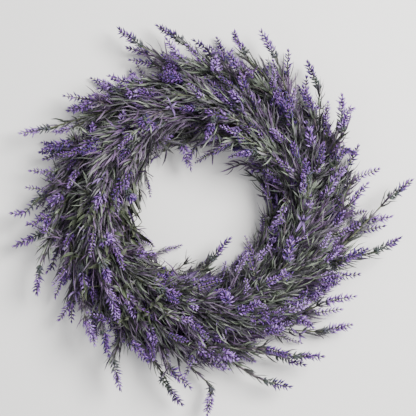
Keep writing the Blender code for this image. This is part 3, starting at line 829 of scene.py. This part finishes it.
headLook = {
    "full": {"whorls": 10, "buds": 6, "length": 0.0098, "width": 0.0022, "lean": (32, 74),
             "green": 0.08},
    "leafy": {"whorls": 10, "buds": 6, "length": 0.0104, "width": 0.0025, "lean": (30, 66),
              "green": 0.46},
    "upright": {"whorls": 9, "buds": 6, "length": 0.0092, "width": 0.0026, "lean": (30, 60),
                "green": 0.35},
    "sparse": {"whorls": 8, "buds": 4, "length": 0.0092, "width": 0.0024, "lean": (34, 62),
               "green": 0.12},
}
# The greens say how green the buds are up to which share of a head's green part, and the
# greenest are small.
headShape = {
    "first": 0.05, "last": 0.93, "taper": 0.4, "sparseSize": (0.85, 1.1),
    "core": 0.0010, "coreTaper": 0.5, "coreSides": 5, "budFoot": 0.0005,
    "sway": math.radians(22), "sizeSpread": 0.28, "tipBuds": 4, "tipLean": (8, 20),
    # The height tone is painted light and shade: heads that stand high are made paler and low ones
    # darker.
    "tone": (0.0, 0.8), "toneSpread": 0.5, "paintedLightPerHeight": 1.5,
    "greenEnd": (0.7, 1.15), "greens": ((0.8, 0.85), (1.0, 0.45)), "smallFrom": 0.5, "smallSize": 0.84,
}


# A flower head on its axis: a thin core with whorls of buds that point forward.
def growHead(batch, buds, rng, axis, kind, fullness=1.0, paler=0.0):
    look = headLook[kind]
    shape = headShape
    tone = rng.uniform(*shape["tone"]) + paler
    # painted light and shade: a higher head is paler, a lower one darker
    tone += (axis[-1].z - tuftLook["lift"]) * shape["paintedLightPerHeight"]
    core = smoothPath(axis, 2)
    addStem(batch, core, shape["core"], shape["coreTaper"], shape["coreSides"], rng.random())
    frames = pathFrames(core)
    greenEnd = look["green"] * rng.uniform(*shape["greenEnd"])
    turned = anyTurn(rng)
    for whorl in range(look["whorls"] + 1):
        share = shape["first"] + (shape["last"] - shape["first"]) * whorl / look["whorls"]
        top = whorl == look["whorls"]
        centre, along, side, up = standAt(core, frames, share)
        count = shape["tipBuds"] if top else look["buds"]
        leans = shape["tipLean"] if top else look["lean"]
        size = fullness * (1.0 - shape["taper"] * share ** 2)
        if kind == "sparse":
            size *= rng.uniform(*shape["sparseSize"])
        green = next((green for end, green in shape["greens"] if share < greenEnd * end), 0.0)
        shrink = shape["smallSize"] if green > shape["smallFrom"] else 1.0
        turned += math.pi / count
        for outward in roundStem(rng, side, up, count, turned, shape["sway"]):
            ahead = towards(along, outward, anyLean(rng, leans))
            grow = size * (1 + jitter(rng, shape["sizeSpread"])) * shrink
            buds.append((tuple(centre + outward * shape["budFoot"]), tuple(ahead),
                         look["length"] * grow, look["width"] * (grow * fullness) ** 0.5,
                         clamp(tone + jitter(rng, shape["toneSpread"])), green))


# Fine leaves in tufts up every stem. They thin out where they near the limit of their
# layer's reach, and some of the inner ones whip further into the hole.
tuftLook = {
    "gap": {"outer": 0.0106, "face": 0.0080, "inner": 0.0094}, "start": 0.16, "last": 0.97,
    "leaves": (4, 6), "edgeLeaves": 4, "length": (0.019, 0.043), "width": (0.0015, 0.0030),
    "lean": (12, 62), "curl": (0.1, 0.95), "roll": 0.9, "sway": 0.35,
    "nearHead": 0.62, "nearFrom": 0.75, "heights": (0.0018, 0.084),
    "bodyReach": 0.104, "holeReach": 0.035, "reachSpread": (0.84, 1.2), "tipOver": 0.004,
    "whipShare": 0.25, "whipReach": (0.048, 0.062),
    "thin": 0.014, "thinShare": 0.4, "thinLeaves": 3,
    "shootTone": (0.0, 0.86), "tuftTone": 0.12, "toneSpread": 0.54,
    "lilac": (0.25, 0.66), "lilacShare": 0.38, "richTint": 0.2, "tuftTint": (-0.1, 0.2),
    "tintSpread": 0.3, "mostTint": 0.75, "plainTint": (0.0, 0.5),
    # Painted light and shade by height: blades and heads above the lift height are made paler, and
    # those below it darker.
    "lift": 0.046, "paintedLightPerHeight": 3.0,
}


# Keeps a fine leaf off the floor and the vine, and within this reach of the vine.
def settle(lane, point, limit):
    heading, tilt, away = lane.measure(point)
    if away < ring["foliageStart"] or away > limit:
        point = lane.world(heading, tilt, clamp(away, ring["foliageStart"], limit))
    return clampHeight(point, *tuftLook["heights"])


# A blade with its roll, width and colours; painted light and shade by height makes what lies high
# paler and what lies deep darker.
def finishBlade(rng, root, middle, tip, along, outward, tone, tint):
    look = tuftLook
    facing = towards(-outward, along.cross(outward), jitter(rng, look["roll"]))
    # painted light and shade: the tone rises with the tip's height above the lift height
    lift = (tip.z - look["lift"]) * look["paintedLightPerHeight"]
    return (tuple(root), tuple(middle), tuple(tip), tuple(facing), rng.uniform(*look["width"]),
            clamp(tone + lift + jitter(rng, look["toneSpread"])),
            clamp(tint + jitter(rng, look["tintSpread"]), 0.0, look["mostTint"]))


# Tufts of narrow leaves up a stem, each leaf bent back towards the stem's direction.
def growTufts(lane, rng, blades, path, headed, edge=False):
    look = tuftLook
    inside = lane.layer is innerLayer
    bend = placing["leafBend"]
    smooth = smoothPath(path, 3)
    frames = pathFrames(smooth)
    length = sum((after - before).length for before, after in zip(smooth[:-1], smooth[1:]))
    count = max(int(length / look["gap"][lane.layer.name]), 2)
    shootTone = rng.uniform(*look["shootTone"]) + lane.lift
    shootTint = rng.uniform(*look["lilac"]) if rng.random() < look["lilacShare"] else 0.0
    for tuft in range(count):
        share = look["start"] + (1.0 - look["start"]) * (tuft + rng.random()) / count
        if headed:
            share = min(share, look["last"])
        root, along, side, up = standAt(smooth, frames, share)
        turned = anyTurn(rng)
        number = rng.randint(*look["leaves"])
        away = lane.measure(root)[2]
        limit = look["holeReach" if inside else "bodyReach"] * lane.slim
        limit *= rng.uniform(*look["reachSpread"])
        if inside and rng.random() < look["whipShare"]:
            limit = rng.uniform(*look["whipReach"])
        if edge:
            limit = away + look["thin"]
            number = min(number, look["edgeLeaves"])
        elif away > limit - look["thin"]:
            if rng.random() > look["thinShare"]:
                continue
            limit = max(limit, away + look["thin"])
            number = min(number, look["thinLeaves"])
        tone = shootTone + jitter(rng, look["tuftTone"])
        tint = shootTint + lane.lift * look["richTint"] + rng.uniform(*look["tuftTint"])
        shorten = look["nearHead"] if edge or (headed and share > look["nearFrom"]) else 1.0
        for outward in roundStem(rng, side, up, number, turned, look["sway"]):
            lean = anyLean(rng, look["lean"])
            reach = rng.uniform(*look["length"]) * shorten
            curl = lean * rng.uniform(*look["curl"])
            first = towards(along, outward, lean) * reach * bend
            second = towards(along, outward, curl) * reach * (1.0 - bend)
            middle = settle(lane, root + first, limit)
            tip = settle(lane, middle + second, limit + look["tipOver"])
            blades.append(finishBlade(rng, root, middle, tip, along, outward, tone, tint))


# Collars of short leaves, this far below a head.
collarLook = {
    "below": (0.008, 0.022), "vary": (0.8, 1.3), "leaves": (4, 6), "length": (0.015, 0.027),
    "lean": (10, 34), "sway": 0.3, "forward": 0.25, "inward": 0.1,
    "tone": (0.2, 0.8), "tint": (0.0, 0.4),
}


def growCollars(rng, blades, path):
    look = collarLook
    smooth = smoothPath(path, 3)
    frames = pathFrames(smooth)
    for below in look["below"]:
        index = len(smooth) - 1
        left = below * rng.uniform(*look["vary"])
        while index > 1 and left > 0.0:
            left -= (smooth[index] - smooth[index - 1]).length
            index -= 1
        along, side, up = frames[index]
        tone = rng.uniform(*look["tone"])
        tint = rng.uniform(*look["tint"])
        turned = anyTurn(rng)
        number = rng.randint(*look["leaves"])
        for outward in roundStem(rng, side, up, number, turned, look["sway"]):
            first = towards(along, outward, anyLean(rng, look["lean"]))
            half = rng.uniform(*look["length"]) / 2
            second = (first + along * look["forward"] - outward * look["inward"]).normalized()
            middle = smooth[index] + first * half
            tip = middle + second * half
            middle, tip = (clampHeight(point, *tuftLook["heights"]) for point in (middle, tip))
            blades.append(finishBlade(rng, smooth[index], middle, tip, along, outward,
                                      tone, tint))


# Shoots fill a bunch out. Pale lanes, at the bottom and lower right, have extra ones and
# paler leaves. Those on the face and inside are fluffy: sparse heads turned every way.
# Flowery lanes, at the upper right, have more heads. Slim ones at the bottom reach less far.
shootLook = {
    "steps": 5, "stem": 0.0008, "sides": 5, "rootAt": (0.05, 0.6), "rootBelow": 0.7,
    "lowest": 0.004, "slim": {6: 0.90, 7: 0.89, 8: 0.93, 9: 0.92, 10: 0.95},
    "stray": 1.5, "strayShare": 0.35, "nearStray": 0.55, "strayBend": 1.5,
    "paleLanes": {"outer": (6, 7, 8, 9, 10), "face": (8, 9), "inner": (8, 9, 10, 11)},
    "paleLift": {"outer": 0.2, "face": 0.18, "inner": 0.55},
    "extra": {"outer": 4, "face": 8, "inner": 8},
    "headShare": {"outer": 0.86, "face": 0.54, "inner": 0.36}, "flowery": 0.36,
    "floweryLanes": {"outer": (), "face": (11, 12, 13), "inner": (12, 13, 0)},
    "kindShares": (("sparse", 0.55), ("full", 0.78), ("leafy", 1.0)),
    "fullness": (0.66, 0.92), "headLength": (0.028, 0.040), "headSteps": 4,
    "headLift": 0.005, "headRise": 0.22, "headTurn": 0.24, "headSway": 0.25,
    "headHeight": (0.006, 0.089), "holeReach": 0.050,
    "fluffyTurn": 0.8, "fluffyFullness": (0.5, 0.72), "fluffyAway": (0.026, 0.042),
}


# A thin stem from its root to a place in its lane. It turns more and more about the
# wreath's middle on its way, so that it crosses its neighbours.
def addShoot(lane, rng, batch, root, tilt, away, steps, turn):
    path = []
    straight = lane.path(root, (lane.centre, tilt, away), steps)
    for step, point in enumerate(straight):
        share = turn * (step / steps) ** shootLook["strayBend"]
        path.append(Vector((point.x * math.cos(share) - point.y * math.sin(share),
                            point.x * math.sin(share) + point.y * math.cos(share), point.z)))
    addStem(batch, smoothPath(path, 2), shootLook["stem"], 0.0, shootLook["sides"], rng.random())
    return path


# The axis of a head at the end of a shoot, nearly level and bent to one side.
def shootAxis(rng, path, turn):
    look = shootLook
    ahead = path[-1] - path[-2]
    rise = clamp(ahead.normalized().z, -look["headRise"], look["headRise"])
    ahead = Vector((ahead.x, ahead.y, 0.0)).normalized() + skyward * rise
    sway = Vector([jitter(rng, 1.0) * turn for part in range(3)])
    ahead = (ahead + sway).normalized()
    reach = rng.uniform(*look["headLength"])
    axis = [path[-1]]
    for step in range(look["headSteps"]):
        ahead = (ahead + sway * look["headSway"]).normalized()
        axis.append(axis[-1] + ahead * reach / look["headSteps"])
    return [clampHeight(point, *look["headHeight"]) for point in axis]


def growShoots(lane, rng, batch, buds, blades, main, number, pale):
    look = shootLook
    layer = lane.layer
    inside = layer is innerLayer
    flowery = look["flowery"] if number in look["floweryLanes"][layer.name] else 0.0
    for shoot in range(layer.shoots + (look["extra"][layer.name] if pale else 0)):
        fluffy = shoot >= layer.shoots and layer is not outerLayer
        away = rng.uniform(*layer.crown) * lane.slim
        if fluffy and inside:
            away = rng.uniform(*look["fluffyAway"])
        headed = fluffy or rng.random() < look["headShare"][layer.name] + flowery
        if headed and not inside:
            away += look["headLift"]
        tilt = rng.uniform(layer.low, layer.high)
        if not inside:
            tilt = max(tilt, math.asin(clamp((look["lowest"] - ring["height"]) / away, -1.0, 1.0)))
        stray = look["stray"] if rng.random() < look["strayShare"] else look["nearStray"]
        heading = lane.centre + jitter(rng, stray) * laneStep
        root = lane.measure(pointAlong(main, rng.uniform(*look["rootAt"]) * (len(main) - 1)))
        if root[2] > away * look["rootBelow"]:
            root = lane.measure(main[0])
        path = addShoot(lane, rng, batch, root, tilt, away, look["steps"], heading - lane.centre)
        if headed:
            pick = rng.random()
            kind = next(kind for kind, share in look["kindShares"] if pick < share)
            axis = shootAxis(rng, path, look["fluffyTurn" if fluffy else "headTurn"])
            fullness = rng.uniform(*look["fluffyFullness" if fluffy else "fullness"])
            if not inside or lane.measure(axis[-1])[2] < look["holeReach"]:
                growHead(batch, buds, rng, axis, "sparse" if fluffy else kind, fullness,
                         lane.lift)
        growTufts(lane, rng, blades, path, headed)


# Leafy tips that reach into the hole: angle and reach in mm from the wreath's middle.
edgeLook = {
    "tips": ((12, 93), (35, 85), (55, 70), (78, 80), (93, 86), (148, 88), (168, 84), (201, 92),
             (227, 78), (256, 70), (270, 78), (322, 86), (338, 92), (350, 95)),
    "height": (0.008, 0.030), "steps": 6, "headShare": 0.5, "headLength": 0.028,
    "headSteps": 4, "fullness": (0.6, 0.8),
}


def growEdge(lane, rng, batch, buds, blades, main, number):
    look = edgeLook
    for angle, reach in look["tips"]:
        away = ring["radius"] - reach * mm
        heading = math.radians(angle) - lane.swing(away)
        if laneOf(heading) != number:
            continue
        tilt = math.pi - math.asin((rng.uniform(*look["height"]) - ring["height"]) / away)
        path = addShoot(lane, rng, batch, lane.measure(main[0]), tilt, away, look["steps"],
                        turnBetween(heading, lane.centre))
        growTufts(lane, rng, blades, path, False, edge=True)
        if rng.random() < look["headShare"]:
            ahead = (path[-1] - path[-2]).normalized()
            axis = [path[-1] + ahead * look["headLength"] * step / look["headSteps"]
                    for step in range(look["headSteps"] + 1)]
            growHead(batch, buds, rng, axis, "sparse", rng.uniform(*look["fullness"]))


# Clusters of broad leaves. Rich lanes, at the lower right, have many small ones, and olive
# lanes, at the lower left, have larger ones.
petalLook = {
    "small": {"leaves": (3, 6), "length": (0.012, 0.021), "width": (0.0025, 0.0042),
              "out": 0.016},
    "large": {"leaves": (2, 4), "length": (0.014, 0.024), "width": (0.0050, 0.0074),
              "out": 0.026},
    "clusters": {"outer": 1, "face": 2, "inner": 2}, "rich": 8, "paleShare": 0.5,
    "richLanes": {"outer": (), "face": (8, 9), "inner": (8, 9, 10, 11)},
    "olive": {"outer": 0, "face": 10, "inner": 8},
    "oliveLanes": {"outer": (), "face": (4, 5, 6), "inner": (5, 6, 7)},
    "rootAt": (0.3, 0.95), "stalk": 0.0006, "stalkSides": 4, "outShare": (0.3, 1.0),
    "facesUp": 0.2, "sway": 0.5, "forward": 0.6, "lean": (30, 74), "droop": (0.5, 0.3),
    "roll": 0.4, "tone": (0.1, 0.9), "toneSpread": 0.3, "tint": (0.0, 0.4),
}


# A cluster of short broad leaves that spread like a star from the end of a side stalk.
def growCluster(lane, rng, batch, paths, size):
    look = petalLook
    number = rng.randint(*size["leaves"])
    smooth = smoothPath(rng.choice(paths), 3)
    foot, along, side, up = standAt(smooth, pathFrames(smooth), rng.uniform(*look["rootAt"]))
    outward = towards(side, up, anyTurn(rng))
    if outward.z < look["facesUp"]:
        outward = -outward
    root = foot + outward * size["out"] * rng.uniform(*look["outShare"])
    across = along.cross(outward)
    bend = placing["leafBend"]
    limit = tuftLook["holeReach" if lane.layer is innerLayer else "bodyReach"]
    tone = rng.uniform(*look["tone"])
    addStem(batch, [foot, root], look["stalk"], 0.0, look["stalkSides"], tone)
    grown = []
    for leaf in range(number):
        swing = math.tau * leaf / number + jitter(rng, look["sway"])
        spread = (towards(along, across, swing) + along * look["forward"]).normalized()
        ahead = towards(outward, spread, anyLean(rng, look["lean"]))
        reach = rng.uniform(*size["length"])
        middle = settle(lane, root + ahead * reach * bend, limit)
        droop = (ahead + spread * look["droop"][0] - outward * look["droop"][1]).normalized()
        tip = settle(lane, middle + droop * reach * (1.0 - bend), limit)
        facing = (outward + across * jitter(rng, look["roll"])).normalized()
        grown.append((tuple(root), tuple(middle), tuple(tip), tuple(facing),
                      rng.uniform(*size["width"]),
                      clamp(tone + jitter(rng, look["toneSpread"])),
                      rng.uniform(*look["tint"])))
    return grown


# The broad leaves of a bunch, in three colours: lilac, pale green and olive.
def growPetals(lane, rng, batch, paths, number):
    lilac = []
    pale = []
    olive = []
    look = petalLook
    name = lane.layer.name
    more = look["rich"] if number in look["richLanes"][name] else 0
    for index in range(look["clusters"][name] + more):
        cluster = growCluster(lane, rng, batch, paths, look["small"])
        (pale if rng.random() < look["paleShare"] else lilac).extend(cluster)
    for index in range(look["olive"][name] if number in look["oliveLanes"][name] else 0):
        olive += growCluster(lane, rng, batch, paths, look["large"])
    return lilac, pale, olive


# The wreath's middle in the frame lies halfway between two ties that face each other.
cadRing = [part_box("stem_tie_01"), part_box("stem_tie_08")]
wreathMiddle = Vector([(min(low[axis] for low, high in cadRing)
                        + max(high[axis] for low, high in cadRing)) / 2 for axis in range(2)]
                      + [0.0])


def makeBunch(layer, number, rows):
    node = "%s_bunch_%02d" % (layer.name, number + 1)
    lane = Lane(layer, number)
    isPale = number in shootLook["paleLanes"][layer.name]
    if isPale:
        lane.lift = shootLook["paleLift"][layer.name]
    crowd = Crowd()
    leaves = leavesLeft.get(node, layer.leaves)
    rng = random.Random("%s %d" % (node, leaves))
    sprigs, paths = growSprigs(lane, rng, crowd, rows)
    grown = growLeaves(lane, rng, crowd, paths, number, leaves)
    rng = random.Random(node + " fine")
    batch = Batch()
    buds = []
    blades = []
    broad = []
    for (stem, axis, kind, thick), path in zip(sprigs, paths):
        smooth = smoothPath(stem + (axis[:1] if axis else []), 2)
        addStem(batch, smooth, thick, ring["stemTaper"], ring["stemSides"], rng.random())
        if axis:
            growHead(batch, buds, rng, axis, kind)
            growCollars(rng, blades, path[:-1] + axis[:1])
        growTufts(lane, rng, blades, path, bool(axis))
    growShoots(lane, rng, batch, buds, blades, paths[0], number, isPale)
    if layer is innerLayer:
        growEdge(lane, rng, batch, buds, blades, paths[0], number)
    lilac, pale, olive = growPetals(lane, rng, batch, paths, number)
    for line, outward, blade in grown:
        entry = (*(tuple(point) for point in line), tuple(-outward), blade.width,
                 rng.random(), rng.uniform(*tuftLook["plainTint"]))
        (broad if blade is broadBlade else blades).append(entry)
    (olive if number in petalLook["oliveLanes"][layer.name] else pale).extend(broad)
    addBlades(batch, blades, "narrow", greySlot)
    for leaves, slot in ((olive, oliveSlot), (lilac, lilacSlot), (pale, paleSlot)):
        addBlades(batch, leaves, "broad", slot)
    addBuds(batch, buds)
    piece = batch.build(node + "_sprays", foliageMaterials)
    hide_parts(node)
    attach(piece, "root")
    return len(blades), len(buds)


totals = [0, 0]
for layer, rows in ((outerLayer, outerHeads), (faceLayer, faceHeads), (innerLayer, innerHeads)):
    homes = [homeLane(layer, row) for row in rows]
    for number in range(ring["laneCount"]):
        made = makeBunch(layer, number, [row for row, home in zip(rows, homes)
                                         if home == number])
        totals = [total + more for total, more in zip(totals, made)]
print("bunches grown, leaves %d and buds %d" % tuple(totals))

vineLook = {
    "strands": 3, "offset": 0.0052, "radius": 0.0037, "sides": 12, "stepsATie": 16,
    "thirds": 12, "knots": 17, "knotLift": 0.11, "knotLength": 2.0,
    "wobble": 0.07, "rough": 0.4, "worn": 0.04, "streaks": (90.0, 9.0), "ribShare": 1.5,
    "bark": [(0.0, (46, 38, 30)), (0.5, (84, 70, 56)), (1.0, (126, 110, 92))],
    "mottleScale": 150.0, "mottleDepth": 0.7, "gloss": (0.7, 0.95),
    "bump": 0.8, "relief": 0.0008,
}
tieBack = math.radians(1)  # how far the ties stand behind the middles of their lanes


# The strands make four turns in all, by whole thirds of a turn from tie to tie, so that one
# of them lies on top under each tie.
def strandTurn(place):
    before = int(place)
    last = round(before * vineLook["thirds"] / ring["laneCount"])
    thirds = round((before + 1) * vineLook["thirds"] / ring["laneCount"])
    return math.tau / vineLook["strands"] * (last + (thirds - last) * (place - before))


# Long streaks of bark that run along a strand.
def makeBarkMaterial(name, look):
    material, tree, shader = newMaterial(name)
    place = addNode(tree, "ShaderNodeCombineXYZ", {
        index: addMath(tree, "MULTIPLY", readMark(tree, mark), look["streaks"][index])
        for index, mark in enumerate(("along", "across"))})
    streaks = addNode(tree, "ShaderNodeTexNoise", {
        "Vector": place.outputs[0], "Scale": 1.0, "Detail": 5.0, "Roughness": 0.7}).outputs[0]
    finishSurface(tree, shader, addRamp(tree, streaks, look["bark"]), look, streaks)
    return material


# One strand of vine round the whole ring, with bark that swells at its knots.
def makeStrand(number, material):
    look = vineLook
    rng = random.Random("strand %d" % number)
    steps = ring["laneCount"] * look["stepsATie"]
    sides = look["sides"]
    knots = [rng.randrange(steps) for knot in range(look["knots"])]
    ridges = [jitter(rng, 1.0) * look["wobble"] for corner in range(sides)]
    path = []
    for step in range(steps):
        angle = ring["firstLane"] - tieBack + math.tau * step / steps
        tilt = math.pi / 2 + strandTurn(step / look["stepsATie"]) \
            + math.tau * number / look["strands"]
        path.append(polar(ring["radius"] + look["offset"] * math.cos(tilt), angle,
                          ring["height"] + look["offset"] * math.sin(tilt)))
    frames = []
    for step in range(steps):
        along = (path[(step + 1) % steps] - path[step - 1]).normalized()
        side = along.cross(skyward).normalized()
        frames.append((along, side, along.cross(side)))

    def reachAt(step, corner):
        away = min(min(abs(step - knot), steps - abs(step - knot)) for knot in knots)
        swell = 1.0 + look["knotLift"] * math.exp(-(away / look["knotLength"]) ** 2)
        rough = jitter(rng, look["rough"]) * look["wobble"]
        return look["radius"] * swell * (1.0 + ridges[corner] + rough - look["worn"])

    batch = Batch()
    addRings(batch, path, frames, sides, reachAt, lambda step, corner: (
        abs(2.0 * step / steps - 1.0), abs(2.0 * corner / sides - 1.0), 0.5, 0.0), closed=True)
    piece = batch.build("vine_bark_%d" % (number + 1), [material])
    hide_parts("vine_strand_%d" % (number + 1))
    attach(piece, "root")


tieLook = {
    "turns": 5, "reach": 0.0146, "twine": 0.00095, "width": 0.0074, "stepsATurn": 28,
    "sides": 5, "plies": 26, "tuck": 0.0011, "tuckEnd": 1 / 14, "ribShare": 2.0,
    "fibres": [(0.0, (52, 38, 28)), (0.55, (92, 70, 50)), (1.0, (140, 116, 88))],
    "mottleScale": 400.0, "mottleDepth": 0.6, "gloss": (0.75, 0.95),
    "bump": 0.8, "relief": 0.0003,
}


# Twine: slanted plies that show along the wound turns.
def makeTwineMaterial(name, look):
    material, tree, shader = newMaterial(name)
    slant = addMath(tree, "MULTIPLY_ADD", readMark(tree, "along"), look["plies"] * look["turns"],
                    readMark(tree, "across"))
    wave = addMath(tree, "SINE", addMath(tree, "MULTIPLY", slant, math.tau))
    ply = addMath(tree, "MULTIPLY_ADD", wave, 0.5, 0.5)
    finishSurface(tree, shader, addRamp(tree, ply, look["fibres"]), look, ply)
    return material


# A tie of twine wound round the vine and the stalks, with both ends tucked under.
def makeTie(number, material):
    look = tieLook
    angle = ring["firstLane"] + number * laneStep - tieBack
    out = polar(1.0, angle, 0.0)
    ahead = polar(1.0, angle + math.pi / 2, 0.0)
    centre = out * ring["radius"] + skyward * ring["height"]
    steps = look["turns"] * look["stepsATurn"]
    path = []
    for step in range(steps + 1):
        share = step / steps
        tuck = look["tuck"] * max(0.0, 1.0 - min(share, 1.0 - share) / look["tuckEnd"])
        path.append(centre + towards(out, skyward, math.tau * look["turns"] * share)
                    * (look["reach"] - tuck) + ahead * look["width"] * (share - 0.5))
    batch = Batch()
    addRings(batch, path, pathFrames(path), look["sides"], lambda step, corner: look["twine"],
             lambda step, corner: (step / steps, corner / look["sides"], 0.5, 0.0))
    piece = batch.build("twine_tie_%02d" % (number + 1), [material])
    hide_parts("stem_tie_%02d" % (number + 1))
    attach(piece, "root")


bark = makeBarkMaterial("vineBark", vineLook)
for number in range(vineLook["strands"]):
    makeStrand(number, bark)
twine = makeTwineMaterial("brownTwine", tieLook)
for number in range(ring["laneCount"]):
    makeTie(number, twine)
print("vine and ties made")

floorLook = {"size": 6.0, "colour": (224, 223, 222), "shade": (218, 218, 217),
             "scale": 3.0, "roughness": 0.9}


# A plain pale table top with a faint unevenness in its paint.
def makeFloor():
    half = floorLook["size"] / 2
    mesh = bpy.data.meshes.new("tableTop")
    mesh.from_pydata([(-half, -half, 0.0), (half, -half, 0.0), (half, half, 0.0),
                      (-half, half, 0.0)], [], [(0, 1, 2, 3)])
    material, tree, shader = newMaterial("paleTable")
    noise = addNode(tree, "ShaderNodeTexNoise", {
        "Vector": addNode(tree, "ShaderNodeTexCoord").outputs["Object"],
        "Scale": floorLook["scale"], "Detail": 3.0})
    feed(tree, shader.inputs["Base Color"],
         addMix(tree, noise.outputs[0], floorLook["colour"], floorLook["shade"]))
    feed(tree, shader.inputs["Roughness"], floorLook["roughness"])
    mesh.materials.append(material)
    floor = addObject("tableTop", mesh)


# The key light comes from the upper right of the picture and the fill from the lower left,
# in a softly lit room.
lightLook = {
    "key": {"place": (1.18, 0.66, 1.6), "size": 1.25, "watts": 142.0,
            "colour": (1.0, 0.985, 0.96)},
    "fill": {"place": (-1.0, -0.9, 1.6), "size": 1.6, "watts": 14.0, "colour": (0.99, 0.98, 1.0)},
    "room": {"Color": (0.97, 0.98, 1.0, 1.0), "Strength": 0.62},
}


def makeLights():
    for name in ("key", "fill"):
        look = lightLook[name]
        lamp = bpy.data.lights.new(name + "Light", "AREA")
        lamp.shape = "DISK"
        lamp.size = look["size"]
        lamp.energy = look["watts"]
        lamp.color = look["colour"]
        light = addObject(name + "Light", lamp)
        light.location = look["place"]
        light.rotation_euler = (-Vector(look["place"])).to_track_quat("-Z", "Y").to_euler()
    world = bpy.data.worlds.new("softRoom")
    world.use_nodes = True
    for label, value in lightLook["room"].items():
        world.node_tree.nodes["Background"].inputs[label].default_value = value
    bpy.context.scene.world = world


# Straight above the wreath, far enough back that the heads hardly spread.
cameraLook = {"over": (-0.0049, 0.0168), "height": 1.9, "lens": 117.4, "sensor": 36.0}


def makeCamera():
    lens = bpy.data.cameras.new("camera")
    lens.sensor_width = cameraLook["sensor"]
    lens.lens = cameraLook["lens"]
    camera = addObject("camera", lens)
    camera.location = (*cameraLook["over"], cameraLook["height"])
    bpy.context.scene.camera = camera


makeFloor()
makeLights()
makeCamera()
print("table, lights and camera placed")
